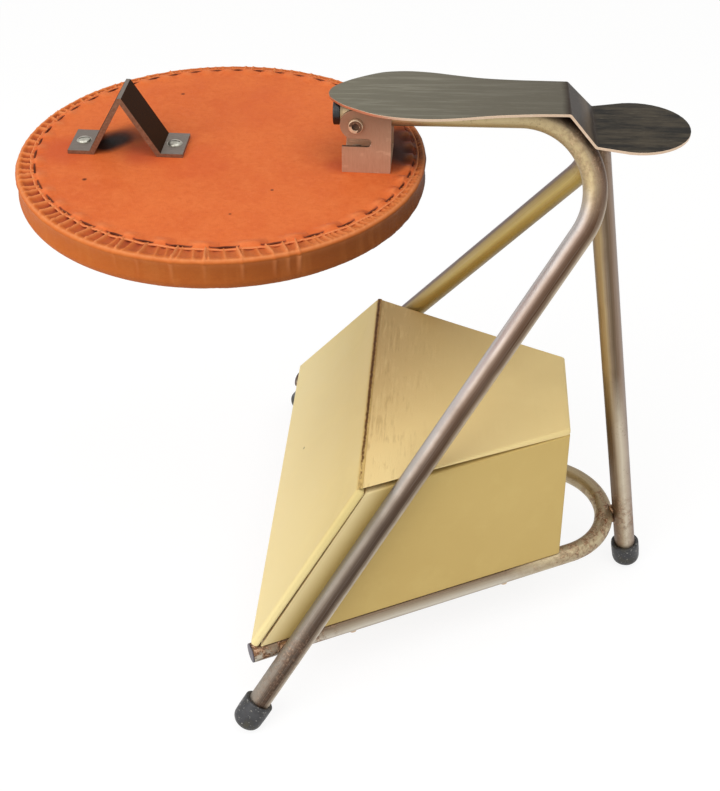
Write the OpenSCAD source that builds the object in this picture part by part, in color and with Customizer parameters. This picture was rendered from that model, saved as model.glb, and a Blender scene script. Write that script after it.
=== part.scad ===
// Folding shoe shine chair: a bent tube stand with a sole-shaped footplate, a round leather seat
// that hinges over the footplate, and a tapered box with a lid between the legs.
// X runs along the footplate towards the heel, Z is up from the floor, Y = 0 is the plane of symmetry
// and the seat's hinge axis is straight above the origin.

/* [Frame tubes] */
// Outer diameter of the leg tubes
leg_d = 18; // [15:0.5:22]
// Wall of all tubes
tube_wall = 1.5; // [1:0.1:2]
// Height of the axes of the two top tubes above the floor
top_axis_h = 451; // [430:1:480]
// Gap between the two top tubes
tube_gap = 0.8; // [0.4:0.1:2]
// How far the top tubes reach past the hinge, towards the toe
tube_overhang = 11.5; // [11:0.5:13]
// Distance from the start of the bend to the footplate's step
bend_lead = 33.5; // [31.5:0.5:42]
// Radius of the bend, to the middle of the tube
bend_radius = 55.5; // [50:0.5:57]
// Angle through which the legs bend down and back
bend_angle = 121.7; // [115:0.1:128]
// Sideways splay of the two bent legs
leg_splay = 24.2; // [20:0.1:28]
// How far the third leg's foot stands out from its top end
heel_leg_run = 68.4; // [61:0.2:76]
// Distance from the end of the footplate's step to the third leg's top end
heel_leg_past = 2; // [0:0.5:8]

/* [Rail] */
// Outer diameter of the rail tube
rail_d = 16; // [12:0.5:18]
// Height of the rail's axis above the floor
rail_h = 57.9; // [50:0.1:64]
// Radius of the rail's bend, to the middle of the tube
rail_radius = 59; // [52:1:64]
// Length of rail past the bent legs
rail_overhang = 34; // [26:1:44]

/* [Rubber feet] */
// Length of a foot along its leg
foot_len = 24; // [20:1:32]
// Rubber around the tube
foot_wall = 3.2; // [2.4:0.1:4]
// Rubber under the end of the tube
foot_base = 5; // [3:0.5:7]
// Rounding of a foot's lower edge
foot_round = 5; // [3:0.5:5.5]

/* [Footplate] */
// Thickness of the footplate sheet
plate_t = 2; // [1.5:0.1:2.5]
// Distance from the hinge to the tip of the toe
toe_reach = 21; // [20:0.5:22]
// Length of the sloping step
step_run = 20; // [19:1:24]
// Drop from the sole to the heel
step_drop = 23; // [21:0.5:24]
// Widest half width of the sole on the near side
sole_near_w = 40; // [36:1:44]
// Widest half width of the sole on the far side
sole_far_w = 38; // [34:1:42]
// Radius of the heel
heel_r = 39.5; // [36:0.5:42]
// Length of the heel, past the step
heel_plate_len = 69; // [64:1:74]

/* [Seat] */
// Radius of the seat
seat_r = 153; // [145:1:160]
// Distance from the hinge to the nearest edge of the seat
hinge_inset = 51.1; // [45:0.1:55]
// Tilt of the open seat, its outer end up
seat_tilt = 1.1; // [0:0.1:3]
// Height of the hinge axis above the seat's underside
seat_rise = 38; // [35:0.5:41]
// Thickness of the plywood board
board_t = 12; // [9:1:14]
// Leather thickness
leather_t = 1.6; // [1.2:0.1:2]
// Height of the seat's upright side
seat_side_h = 17; // [16:0.5:20]
// Rise of the cushion's crown past its rounded edge
crown_h = 13; // [8:1:18]
// Radius of the seat's rounded outer edge
edge_r = 8; // [6:0.5:9]
// Width of the leather turned over the rim of the underside
turn_w = 15; // [13:0.5:18]
// How much the side is drawn in below the rim
draw_in = 1.2; // [0.5:0.1:2]

/* [Lacing] */
// Number of stitches around the rim
stitch_count = 54; // [40:1:60]
// Length of a stitch
stitch_len = 10.5; // [8:0.5:12]
// Width of a stitch
stitch_w = 2.2; // [1.5:0.1:3]

/* [Seat bracket] */
// Sheet of the bracket
bracket_t = 2.4; // [2:0.1:3]
// Running gap between a cheek and the spacer inside it
cheek_gap = 0.3; // [0.2:0.05:0.5]
// Thickness of the spacer beside each tube
spacer_t = 1.8; // [1.2:0.1:2.4]
// Radius of the lobe around the hinge
lobe_r = 11.5; // [10:0.25:11.5]
// Reach of the cheeks towards the heel
cheek_reach = 25.6; // [24:0.2:28]
// Reach of the cheeks towards the toe, below the notch
cheek_back = 10.1; // [9:0.2:11]
// Height of the notch that lets the footplate in
notch_h = 6.6; // [6:0.1:7]
// Height of the notch's middle below the hinge
notch_drop = 13.9; // [13.6:0.1:14.2]
// Diameter of the hinge bolt
bolt_d = 6; // [5:0.5:6.5]
// Distance of the hinge bolt below the axes of the tubes
bolt_drop = 3.5; // [2.5:0.1:4]

/* [Seat rest] */
// Width of the bent strip that carries the closed seat
rest_w = 34; // [28:1:38]
// Thickness of the strip
rest_t = 3; // [2:0.25:4]
// Distance from the strip's outer end to the seat's far edge
rest_inset = 37.8; // [33:0.2:44]
// Gap between the footplate's step and the strip's top, with the seat closed
rest_clear = 1.6; // [1.6:0.2:4]
// Spread of the strip's left leg
rest_left_run = 25.7; // [20:0.1:30]
// Spread of the strip's right leg
rest_right_run = 25.7; // [20:0.1:32]
// Length of the strip's flanges
rest_flange = 17.8; // [15:0.1:22]
// Sideways place of the strip
rest_y = 5.5; // [0:0.5:14]

/* [Box] */
// Outer height of the box
box_h = 128; // [115:1:135]
// Panel thickness of the walls
wall_t = 8; // [6:0.5:10]
// Thickness of the top panel
top_t = 6; // [5:0.5:8]
// Thickness of the floor panel
floor_t = 6; // [5:0.5:8]
// Thickness of the lid panel
lid_t = 7; // [5:0.5:8]
// Inward lean of the long walls
wall_lean = 5.6; // [4.5:0.1:7]
// Distance from the middle of the rail's bend to the box's narrow end
box_past_bend = 16.07; // [11:1:19]
// Distance from the bent legs, at the rail, to the top edge of the lid
lid_past_legs = 53.57; // [48:0.5:60]
// Lean of the closed lid from upright
lid_lean = 34.6; // [30:0.2:38]
// Gap between the lid and the walls behind it
lid_gap = 1.4; // [0.6:0.1:2]

/* [Hidden] */
$fn = 48;

// Cutting tools and fits
cut = 1;
far = 900;
fit = 0.15;
seam = 0.05;
turn_gap = 0.3;

// Places along X: the seat's size sets the step, and the step sets the bends and the third leg
seat_offset = seat_r - hinge_inset;
rest_x = seat_offset + seat_r - rest_inset - rest_flange - rest_left_run;
step_end_x = rest_x - rest_clear;
step_x = step_end_x - step_run;
bend_start = step_x - bend_lead;
heel_top_x = step_end_x + heel_leg_past;
heel_foot_x = heel_top_x + heel_leg_run;
heel_reach = step_end_x + heel_plate_len;

// Tubes
leg_r = leg_d / 2;
rail_r = rail_d / 2;
tube_y = leg_r + tube_gap / 2;
hinge_z = top_axis_h - bolt_drop;
bend_end_x = bend_start + bend_radius * sin(bend_angle);
bend_end_drop = bend_radius * (1 - cos(bend_angle));
bend_end_y = tube_y + bend_end_drop * sin(leg_splay);
bend_end_z = top_axis_h - bend_end_drop * cos(leg_splay);
leg_fall = sin(bend_angle) * cos(leg_splay);
leg_len = bend_end_z / leg_fall;

// Feet: each stands square to its leg, on a small flat of its rounded lower edge
foot_r = leg_r + foot_wall;
foot_rim = 1.2;
foot_flat = 1.2;
function foot_start(tilt) =
    (foot_round + (foot_r - foot_round) * sin(tilt) - foot_flat) / cos(tilt) - foot_round;
bent_foot_start = foot_start(acos(leg_fall));
bent_tube_start = bent_foot_start + foot_base;

// Place of a bent leg's axis at a height
function leg_x(z) = bend_end_x + (bend_end_z - z) / leg_fall * cos(bend_angle);
function leg_y(z) = bend_end_y + (bend_end_z - z) * tan(leg_splay);

// Third leg
plate_under_z = top_axis_h + leg_r;
plate_top_z = plate_under_z + plate_t;
heel_top_z = plate_top_z - step_drop;
heel_under_z = heel_top_z - plate_t;
heel_tilt = atan((heel_foot_x - heel_top_x) / heel_under_z);
heel_len = heel_under_z / cos(heel_tilt);
heel_foot_start = foot_start(heel_tilt);
heel_tube_start = heel_foot_start + foot_base;
function heel_leg_x(z) = heel_foot_x - z * tan(heel_tilt);

// Rail: its bend touches the third leg and its arms touch the insides of the bent legs
weld_gap = 0.3;
rail_bend_x = heel_leg_x(rail_h) - leg_r / cos(heel_tilt) - rail_r - weld_gap - rail_radius;
rail_to_leg = rail_bend_x - leg_x(rail_h);
rail_reach = sqrt(pow(leg_y(rail_h), 2) + pow(rail_to_leg, 2));
arm_angle = acos((rail_radius + leg_r + rail_r + weld_gap) / rail_reach) - atan2(rail_to_leg, leg_y(rail_h));
arm_start_x = rail_bend_x + rail_radius * sin(arm_angle);
arm_start_y = rail_radius * cos(arm_angle);
arm_end_x = leg_x(rail_h) - rail_overhang * cos(arm_angle);
arm_len = (arm_start_x - arm_end_x) / cos(arm_angle);
function arm_y(x) = arm_start_y + (arm_start_x - x) * tan(arm_angle);
cap_t = 1.2;
cap_len = 6;

// Plugs in the ends of the top tubes
plug_head = 5.5;
plug_len = 6;

// Footplate outline, as shares of the sole's length and of its widest half width
near_length_shares = [0, 0.012, 0.06, 0.12, 0.2, 0.29, 0.38, 0.47, 0.56, 0.7, 0.86, 1];
near_width_shares = [0, 0.2, 0.46, 0.65, 0.85, 0.96, 1, 0.995, 0.94, 0.82, 0.74, 0.72];
far_length_shares = [0, 0.012, 0.06, 0.12, 0.2, 0.26, 0.34, 0.44, 0.54, 0.65, 0.78, 0.9, 1];
far_width_shares = [0, 0.22, 0.48, 0.69, 0.9, 0.975, 1, 0.94, 0.83, 0.73, 0.68, 0.665, 0.655];
outline_steps = 4;
sole_len = toe_reach + step_x;
heel_mid_x = heel_reach - heel_r;
heel_near_w = sole_near_w * 0.8;
heel_far_w = sole_far_w * 0.87;

// A smooth curve through points, and its tangents
function bezier_mix(a, b, c, d, t) =
    0.5 * ((2 * b) + (c - a) * t + (2 * a - 5 * b + 4 * c - d) * t * t + (3 * b - a - 3 * c + d) * t * t * t);
function smooth(p, n) = [for (i = [0 : len(p) - 2], k = [0 : n - 1])
    bezier_mix(p[max(i - 1, 0)], p[i], p[i + 1], p[min(i + 2, len(p) - 1)], k / n)];
near_points = [for (i = [0 : len(near_length_shares) - 1])
    [sole_len * near_length_shares[i] - toe_reach, -sole_near_w * near_width_shares[i]]];
far_points = [for (i = [0 : len(far_length_shares) - 1])
    [sole_len * far_length_shares[i] - toe_reach, sole_far_w * far_width_shares[i]]];
heel_arc_steps = 24;
heel_arc_from = 100;
heel_arc = [for (k = [0 : heel_arc_steps])
    let (a = -heel_arc_from + 2 * heel_arc_from * k / heel_arc_steps)
    [heel_mid_x + heel_r * cos(a), heel_r * sin(a)]];
function reversed(p) = [for (i = [len(p) - 1 : -1 : 0]) p[i]];
plate_outline = concat(smooth(near_points, outline_steps), [[step_x, near_points[len(near_points) - 1][1]]],
    [[step_end_x, -heel_near_w]], heel_arc, [[step_end_x, heel_far_w]],
    reversed(concat(smooth(far_points, outline_steps), [[step_x, far_points[len(far_points) - 1][1]]])));

// Hinge hardware
cheek_in_y = tube_y + leg_r + spacer_t + cheek_gap;
cheek_out_y = cheek_in_y + bracket_t;
bolt_r = bolt_d / 2;
bolt_head_r = bolt_r * 1.75;
bolt_head_h = bolt_r * 0.95;
socket_r = bolt_r * 0.93;
socket_deep = bolt_head_h * 0.8;
nut_r = bolt_r * 1.8;
nut_h = bolt_r * 1.5;
bolt_tail = 1.5;
spacer_r = lobe_r - 2;
stop_gap = 0.3;
cheek_top = bolt_drop + leg_r - stop_gap;
cheek_top_end = cheek_top + cheek_reach * tan(seat_tilt);

// Seat, in the open place of the photograph: the underside faces up
seat_x = -seat_offset;
seat_top_z = hinge_z - seat_rise;
board_r = seat_r - leather_t - draw_in - fit;
board_top_z = seat_top_z - leather_t;
board_under_z = board_top_z - board_t;
seat_side_z = seat_top_z - seat_side_h;
rim_r = 2.5;
side_turn_z = min(seat_side_z + rim_r, board_under_z - 2 * fit);
seat_low_z = seat_side_z - edge_r;
crown_z = seat_low_z - crown_h;
underlay_r = seat_r - turn_w;
lace_inset = 11.8;
lace_r = seat_r - lace_inset;
lace_h = 1;

// Bracket and strip screws
screw_r = 2;
screw_head_r = 4.2;
screw_head_h = 2;
screw_len = 11;
slot_w = 1;
slot_deep = 1;
slot_turn = 25;
rest_gap = 0.3;
rest_h = seat_rise + (hinge_z - heel_top_z) - rest_gap;

// Box
box_z = rail_h + rail_r + fit;
box_top_z = box_z + box_h;
box_end_x = rail_bend_x + box_past_bend;
lid_edge_x = leg_x(rail_h) + lid_past_legs;
lid_short = 6;
lid_drop = box_h - lid_short;
lid_len = lid_drop / cos(lid_lean);
wall_out = 4.5;
strip_w = 3.4;
strip_t = 0.8;
box_screw_r = 1.8;
box_screw_head_r = 3.6;
box_screw_head_h = 2;
box_screw_bite = 12;

// A straight round bar, or a pipe where its bore is over zero
module bar(r, bore, h) {
    difference() {
        cylinder(r = r, h = h);
        if (bore > 0) translate([0, 0, -cut]) cylinder(r = bore, h = h + 2 * cut);
    }
}

// The same bent round the Z axis
module bent_bar(r, bore, radius, angle) {
    rotate_extrude(angle = angle) translate([radius, 0]) difference() {
        circle(r = r);
        if (bore > 0) circle(r = bore);
    }
}

// A top tube, its bend and its leg, in their own upright plane, starting at the end plug.
// The straight stretches end a hair short of the bend, so that each stays a true pipe
module bent_path(r, bore) {
    translate([-tube_overhang, 0, 0]) rotate([0, 90, 0]) bar(r, bore, bend_start + tube_overhang - seam);
    translate([bend_start, 0, -bend_radius]) rotate([90, 0, 0]) rotate([0, 0, 90 - bend_angle])
        bent_bar(r, bore, bend_radius, bend_angle);
    translate([bend_end_x, 0, -bend_end_drop]) rotate([0, 90 + bend_angle, 0])
        translate([0, 0, seam]) bar(r, bore, leg_len - bent_tube_start - seam);
}

// Puts the front tube in place, splayed about its own top stretch
module front_place() {
    translate([0, -tube_y, top_axis_h]) rotate([-leg_splay, 0, 0]) children();
}

// Puts a thing at a bent leg's foot, with its own Z up along the leg
module front_foot_place() {
    front_place() translate([bend_end_x, 0, -bend_end_drop])
        rotate([0, 90 + bend_angle, 0]) translate([0, 0, leg_len]) mirror([0, 0, 1]) children();
}

module hinge_hole(r) {
    translate([0, far / 2, hinge_z]) rotate([90, 0, 0]) cylinder(r = r, h = far);
}

module bent_leg() {
    difference() {
        front_place() bent_path(leg_r, leg_r - tube_wall);
        hinge_hole(bolt_r + fit);
    }
}

module front_tube() {
    color("silver") bent_leg();
}

module rear_tube() {
    color("silver") mirror([0, 1, 0]) bent_leg();
}

// Puts a thing at the third leg's foot, with its own Z up along the leg
module heel_place() {
    translate([heel_foot_x, 0, 0]) rotate([0, -heel_tilt, 0]) children();
}

module heel_leg() {
    color("silver") difference() {
        heel_place() translate([0, 0, heel_tube_start]) difference() {
            cylinder(r = leg_r, h = heel_len);
            translate([0, 0, -cut]) cylinder(r = leg_r - tube_wall, h = heel_len + 2 * cut);
        }
        translate([0, -far / 2, heel_under_z]) cube([far, far, far]);
    }
}

// Puts a thing at the outer end of the front arm of the rail, with its own X along the arm to the bend
module arm_place() {
    translate([arm_end_x, -arm_y(arm_end_x), rail_h]) rotate([0, 0, arm_angle]) children();
}

module rail_path(r, bore) {
    translate([rail_bend_x, 0, rail_h]) rotate([0, 0, arm_angle - 90])
        bent_bar(r, bore, rail_radius, 180 - 2 * arm_angle);
    for (side = [0, 1]) mirror([0, side, 0]) arm_place() rotate([0, 90, 0]) bar(r, bore, arm_len);
}

// Places of the screws that hold the box to the rail
screw_run_shares = [0.3, 0.78];
module box_screw_places() {
    for (side = [0, 1], s = screw_run_shares) mirror([0, side, 0])
        arm_place() translate([arm_len * s, 0, 0]) children();
}

// The arms end a hair short of the bend too
module rail_tube() {
    color("silver") {
        translate([rail_bend_x, 0, rail_h]) rotate([0, 0, arm_angle - 90])
            bent_bar(rail_r, rail_r - tube_wall, rail_radius, 180 - 2 * arm_angle);
        for (side = [0, 1]) mirror([0, side, 0]) arm_place() difference() {
            rotate([0, 90, 0]) bar(rail_r, rail_r - tube_wall, arm_len - seam);
            for (s = screw_run_shares) translate([arm_len * s, 0, -rail_r - cut])
                cylinder(r = box_screw_r + fit, h = rail_d + 2 * cut);
        }
    }
}

module rail_caps() {
    color("dimgray") for (side = [0, 1]) mirror([0, side, 0]) arm_place() {
        translate([-cap_t, 0, 0]) rotate([0, 90, 0]) cylinder(r = rail_r, h = cap_t);
        rotate([0, 90, 0]) cylinder(r = rail_r - tube_wall - fit, h = cap_len);
    }
}

module tube_plugs() {
    color("black") for (side = [-1, 1]) translate([-tube_overhang, side * tube_y, top_axis_h]) rotate([0, 90, 0]) {
        translate([0, 0, -plug_head]) cylinder(r = leg_r, h = plug_head);
        cylinder(r = leg_r - tube_wall - fit, h = plug_len);
    }
}

// A rubber foot with its own Z up along the leg, and a blind hole for the tube
module rubber_foot() {
    difference() {
        rotate_extrude() {
            polygon([
                [0, 0], [foot_r - foot_round, 0], [foot_r - foot_round, foot_round], [foot_r, foot_round],
                [foot_r, foot_len - foot_rim], [foot_r - foot_rim, foot_len], [0, foot_len]
            ]);
            translate([foot_r - foot_round, foot_round]) circle(r = foot_round);
        }
        translate([0, 0, foot_base]) cylinder(r = leg_r + seam, h = foot_len);
    }
}

module floor_cut() {
    translate([-far / 2, -far / 2, -far]) cube([far, far, far]);
}

module bent_foot() {
    difference() {
        front_foot_place() translate([0, 0, bent_foot_start]) rubber_foot();
        floor_cut();
    }
}

module front_foot() {
    color("darkslategray") bent_foot();
}

module rear_foot() {
    color("darkslategray") mirror([0, 1, 0]) bent_foot();
}

module heel_foot() {
    color("darkslategray") difference() {
        heel_place() translate([0, 0, heel_foot_start]) rubber_foot();
        floor_cut();
    }
}

// Side view of the bent sheet, as a band of even thickness
step_slope = atan(step_drop / step_run);
step_inset = plate_t * tan(step_slope / 2);
module plate_profile() {
    polygon([
        [-toe_reach - cut, plate_top_z], [step_x, plate_top_z], [step_end_x, heel_top_z],
        [heel_reach + cut, heel_top_z], [heel_reach + cut, heel_under_z],
        [step_end_x - step_inset, heel_under_z], [step_x - step_inset, plate_under_z],
        [-toe_reach - cut, plate_under_z]
    ]);
}

module foot_plate() {
    color("gray") intersection() {
        translate([0, far / 2, 0]) rotate([90, 0, 0]) linear_extrude(far) plate_profile();
        translate([0, 0, heel_under_z - cut]) linear_extrude(step_drop + 2 * plate_t) polygon(plate_outline);
    }
}

// Beads of weld between the footplate and the tubes under it
bead_r = 3;
bead_len = 14;
plate_weld_shares = [0.36, 0.68, 0.94];
module bead() {
    for (end = [0, 1]) translate([end * bead_len, 0, 0]) sphere(r = bead_r);
    rotate([0, 90, 0]) cylinder(r = bead_r, h = bead_len);
}

module heel_solid() {
    heel_place() translate([0, 0, heel_tube_start]) cylinder(r = leg_r + seam, h = heel_len);
}

module leg_solids() {
    for (side = [0, 1]) mirror([0, side, 0]) front_place() translate([bend_end_x, 0, -bend_end_drop])
        rotate([0, 90 + bend_angle, 0]) cylinder(r = leg_r + seam, h = leg_len - bent_tube_start);
}

module plate_welds() {
    color("dimgray") {
        difference() {
            for (side = [-1, 1], s = plate_weld_shares)
                translate([bend_start * s, side * (tube_y + leg_r * 0.62), plate_under_z - bead_r * 0.7]) bead();
            for (side = [0, 1]) mirror([0, side, 0]) front_place() bent_path(leg_r + seam, 0);
            translate([-far / 2, -far / 2, plate_under_z - seam]) cube([far, far, far]);
        }
        difference() {
            translate([heel_leg_x(heel_under_z), 0, heel_under_z - bead_r])
                cylinder(r1 = leg_r + seam, r2 = leg_r + bead_r, h = bead_r - seam);
            heel_solid();
        }
    }
}

module rail_welds() {
    color("dimgray") difference() {
        union() {
            translate([rail_bend_x + rail_radius + rail_r, 0, rail_h])
                for (side = [-1, 1]) translate([0, 0, side * rail_r * 0.62]) scale(bead_r * 1.5) sphere(r = 1);
            for (side = [0, 1], up = [-1, 1]) mirror([0, side, 0])
                translate([leg_x(rail_h) + (leg_r + rail_r) / 2 * sin(arm_angle) * -1,
                    -leg_y(rail_h) + (leg_r + weld_gap / 2) * cos(arm_angle), rail_h + up * rail_r * 0.62])
                    scale(bead_r * 1.6) sphere(r = 1);
        }
        leg_solids();
        heel_solid();
        rail_path(rail_r + seam, 0);
        translate([-far / 2, -far / 2, box_z - seam]) cube([far, far, far]);
    }
}

module hinge_bolt() {
    color("tan") translate([0, -cheek_out_y - cheek_gap, hinge_z]) rotate([-90, 0, 0]) difference() {
        union() {
            translate([0, 0, -bolt_head_h]) cylinder(r = bolt_head_r, h = bolt_head_h);
            cylinder(r = bolt_r, h = 2 * (cheek_out_y + cheek_gap) + nut_h + bolt_tail);
        }
        translate([0, 0, -bolt_head_h - cut]) cylinder(r = socket_r, h = socket_deep + cut, $fn = 6);
    }
}

module hinge_nut() {
    color("gray") translate([0, cheek_out_y + cheek_gap, hinge_z]) rotate([-90, 0, 0]) difference() {
        cylinder(r = nut_r, h = nut_h, $fn = 6);
        translate([0, 0, -cut]) cylinder(r = bolt_r + seam, h = nut_h + 2 * cut);
    }
}

// A spacer beside each tube keeps the cheeks off the steel
module hinge_spacers() {
    color("gray") for (side = [0, 1]) mirror([0, side, 0])
        translate([0, tube_y + leg_r, hinge_z]) rotate([-90, 0, 0]) difference() {
            cylinder(r = spacer_r, h = spacer_t);
            translate([0, 0, -cut]) cylinder(r = bolt_r + seam, h = spacer_t + 2 * cut);
        }
}

// One cheek in side view: a lobe round the hinge, a tall side that stops under the footplate, and the notch
notch_r = notch_h / 2;
notch_end = lobe_r - notch_r;
module cheek_outline() {
    difference() {
        union() {
            circle(r = lobe_r);
            polygon([
                [0, -lobe_r], [cheek_reach, -lobe_r], [cheek_reach, cheek_top_end], [0, cheek_top]
            ]);
            translate([-cheek_back, -seat_rise]) square([cheek_back + cheek_reach, seat_rise - notch_drop]);
            translate([0, -seat_rise]) square([cheek_reach, seat_rise]);
        }
        translate([-far, -notch_drop - notch_r]) square([far + notch_end, notch_h]);
        translate([notch_end, -notch_drop]) circle(r = notch_r);
        circle(r = bolt_r + turn_gap);
    }
}

// Tilts a piece of the seat about the hinge into its open place
module seat_place() {
    translate([0, 0, hinge_z]) rotate([0, seat_tilt, 0]) translate([0, 0, -hinge_z]) children();
}

module bracket_screw_places() {
    for (side = [-1, 1], run = [0, 1])
        translate([(cheek_reach - cheek_back) / 2 + (run - 0.5) * cheek_reach * 0.7,
            side * cheek_in_y * 0.5, seat_top_z + bracket_t]) children();
}

module seat_bracket() {
    color("rosybrown") seat_place() {
        difference() {
            union() {
                for (side = [-1, 1]) translate([0, side * (cheek_in_y + bracket_t / 2) + bracket_t / 2, hinge_z])
                    rotate([90, 0, 0]) linear_extrude(bracket_t) cheek_outline();
                translate([-cheek_back, -cheek_out_y, seat_top_z])
                    cube([cheek_back + cheek_reach, 2 * cheek_out_y, bracket_t]);
            }
            bracket_screw_places() translate([0, 0, -bracket_t - cut])
                cylinder(r = screw_r + fit, h = bracket_t + 2 * cut);
        }
    }
}

// A slotted screw with a round head, its head standing on Z = 0
module slotted_screw() {
    difference() {
        union() {
            cylinder(r = screw_head_r, h = screw_head_h / 2);
            cylinder(r = screw_head_r * 0.82, h = screw_head_h);
            translate([0, 0, -screw_len]) cylinder(r = screw_r, h = screw_len + cut / 2);
        }
        translate([-screw_head_r - cut, -slot_w / 2, screw_head_h - slot_deep])
            cube([2 * (screw_head_r + cut), slot_w, slot_deep + cut]);
    }
}

module bracket_screws() {
    color("gray") seat_place() bracket_screw_places() slotted_screw();
}

// The strip in side view: two legs that meet at the top, each with a flange on the seat
rest_left_x = -rest_x - rest_left_run;
rest_right_x = -rest_x + rest_right_run;
module rest_outline() {
    polygon([
        [rest_left_x - rest_flange, 0], [rest_left_x + rest_t * 0.6, 0],
        [-rest_x, rest_h - rest_t * 1.6], [rest_right_x - rest_t * 0.6, 0],
        [rest_right_x + rest_flange, 0], [rest_right_x + rest_flange, rest_t],
        [rest_right_x + rest_t * 0.4, rest_t], [-rest_x + rest_t * 0.5, rest_h],
        [-rest_x - rest_t * 0.5, rest_h], [rest_left_x - rest_t * 0.4, rest_t],
        [rest_left_x - rest_flange, rest_t]
    ]);
}

module rest_screw_places() {
    for (x = [rest_left_x - rest_flange * 0.5, rest_right_x + rest_flange * 0.5])
        translate([x, rest_y, seat_top_z + rest_t]) children();
}

module seat_rest() {
    color("gray") seat_place() difference() {
        translate([0, rest_y + rest_w / 2, seat_top_z]) rotate([90, 0, 0]) linear_extrude(rest_w) rest_outline();
        rest_screw_places() translate([0, 0, -rest_t - cut]) cylinder(r = screw_r + fit, h = rest_t + 2 * cut);
    }
}

module rest_screws() {
    color("gray") seat_place() rest_screw_places() rotate([0, 0, slot_turn]) slotted_screw();
}

module screw_holes() {
    bracket_screw_places() translate([0, 0, -screw_len - cut]) cylinder(r = screw_r + seam, h = screw_len);
    rest_screw_places() translate([0, 0, -screw_len - cut]) cylinder(r = screw_r + seam, h = screw_len);
}

module seat_board() {
    color("burlywood") seat_place() difference() {
        translate([seat_x, 0, board_under_z]) cylinder(r = board_r, h = board_t, $fn = 96);
        screw_holes();
    }
}

// Round section of the cushion, from the board down to its crown; the inset is the leather left outside it
crown_steps = 10;
function crown_drop(s) = crown_h * (1 - s * s);
module cushion_section(inset) {
    r = seat_r - inset;
    flat_r = r - edge_r;
    crown = [for (k = [0 : crown_steps]) let (s = 1 - k / crown_steps)
        [flat_r * s, seat_low_z - crown_drop(s) + inset]];
    edge = [for (k = [0 : crown_steps]) let (a = 90 * k / crown_steps)
        [flat_r + edge_r * cos(a), seat_side_z + inset * (1 - cos(a)) - (edge_r - inset) * sin(a)]];
    polygon(concat([[0, board_under_z - fit], [board_r, board_under_z - fit], [r - draw_in, side_turn_z]],
        edge, crown));
}

module seat_pad() {
    color("lightyellow") seat_place() translate([seat_x, 0, 0]) rotate_extrude($fn = 64) cushion_section(leather_t + fit);
}

// The leather: over the cushion, up the side, drawn in a little, and turned over the rim
module cover_section() {
    difference() {
        union() {
            cushion_section(0);
            translate([0, side_turn_z - seam]) square([seat_r - draw_in, seat_top_z - rim_r - side_turn_z + seam]);
            translate([0, board_under_z]) square([seat_r - rim_r, board_t + leather_t]);
            translate([seat_r - rim_r - fit, seat_top_z - rim_r]) circle(r = rim_r);
        }
        cushion_section(leather_t);
        translate([-cut, board_under_z - 2 * fit]) square([board_r + fit + cut, board_t + 3 * fit]);
        translate([-cut, board_top_z - cut]) square([underlay_r + fit + cut, leather_t + 2 * cut]);
    }
}

module seat_cover() {
    color("chocolate") seat_place() difference() {
        translate([seat_x, 0, 0]) rotate_extrude($fn = 96) cover_section();
        translate([0, 0, fit]) screw_holes();
    }
}

module seat_underlay() {
    color("peru") seat_place() difference() {
        translate([seat_x, 0, board_top_z + seam]) cylinder(r = underlay_r, h = leather_t - seam, $fn = 96);
        translate([0, 0, cut]) screw_holes();
    }
}

module seat_lacing() {
    color("saddlebrown") seat_place() for (k = [0 : stitch_count - 1]) translate([seat_x, 0, seat_top_z])
        rotate([0, 0, 360 * k / stitch_count]) translate([lace_r, -stitch_len / 2, 0])
            cube([stitch_w, stitch_len, lace_h]);
}

// Planes of the box. Each slab lies inside its plane, from one depth to another
module front_slab(from, to) {
    translate([arm_start_x, -arm_start_y, box_z]) rotate([0, 0, arm_angle]) translate([0, -wall_out, 0])
        rotate([-wall_lean, 0, 0]) translate([-far, from, -far / 2]) cube([2 * far, to - from, far]);
}

module back_slab(from, to) {
    mirror([0, 1, 0]) front_slab(from, to);
}

module lid_slab(from, to) {
    translate([lid_edge_x, 0, box_top_z]) rotate([0, lid_lean, 0]) translate([from, -far, -far])
        cube([to - from, 2 * far, 2 * far]);
}

// All that lies behind the lid's upper end, by a gap
module past_lid_end(gap) {
    translate([lid_edge_x, 0, box_top_z]) rotate([0, lid_lean, 0]) translate([-far, -far, gap])
        cube([2 * far, 2 * far, far]);
}

module layer(from, to) {
    translate([-far, -far, from]) cube([2 * far, 2 * far, to - from]);
}

module ahead_of_end(inset) {
    translate([-far, -far, 0]) cube([far + box_end_x - inset, 2 * far, far]);
}

module box_floor() {
    color("burlywood") intersection() {
        layer(box_z, box_z + floor_t);
        front_slab(wall_t + fit, far);
        back_slab(wall_t + fit, far);
        lid_slab(lid_t + lid_gap, far);
        ahead_of_end(wall_t + fit);
    }
}

module long_wall() {
    difference() {
        intersection() {
            front_slab(0, wall_t);
            layer(box_z, box_top_z - top_t - seam);
            lid_slab(lid_t + lid_gap, far);
            ahead_of_end(0);
        }
        box_screw_places() cylinder(r = box_screw_r + seam, h = rail_r + box_screw_bite + cut);
    }
}

module box_front() {
    color("khaki") long_wall();
}

module box_back() {
    color("khaki") mirror([0, 1, 0]) long_wall();
}

module box_end() {
    color("khaki") intersection() {
        translate([box_end_x - wall_t, -far, box_z]) cube([wall_t, 2 * far, box_h - top_t - seam]);
        front_slab(wall_t + fit, far);
        back_slab(wall_t + fit, far);
    }
}

module box_top() {
    color("khaki") intersection() {
        layer(box_top_z - top_t, box_top_z);
        front_slab(0, far);
        back_slab(0, far);
        past_lid_end(lid_gap);
        ahead_of_end(0);
    }
}

module box_screws() {
    color("gray") box_screw_places() {
        translate([0, 0, -rail_r - box_screw_head_h]) cylinder(r = box_screw_head_r, h = box_screw_head_h);
        translate([0, 0, -rail_r - cut / 2]) cylinder(r = box_screw_r, h = rail_d + box_screw_bite);
    }
}

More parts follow.
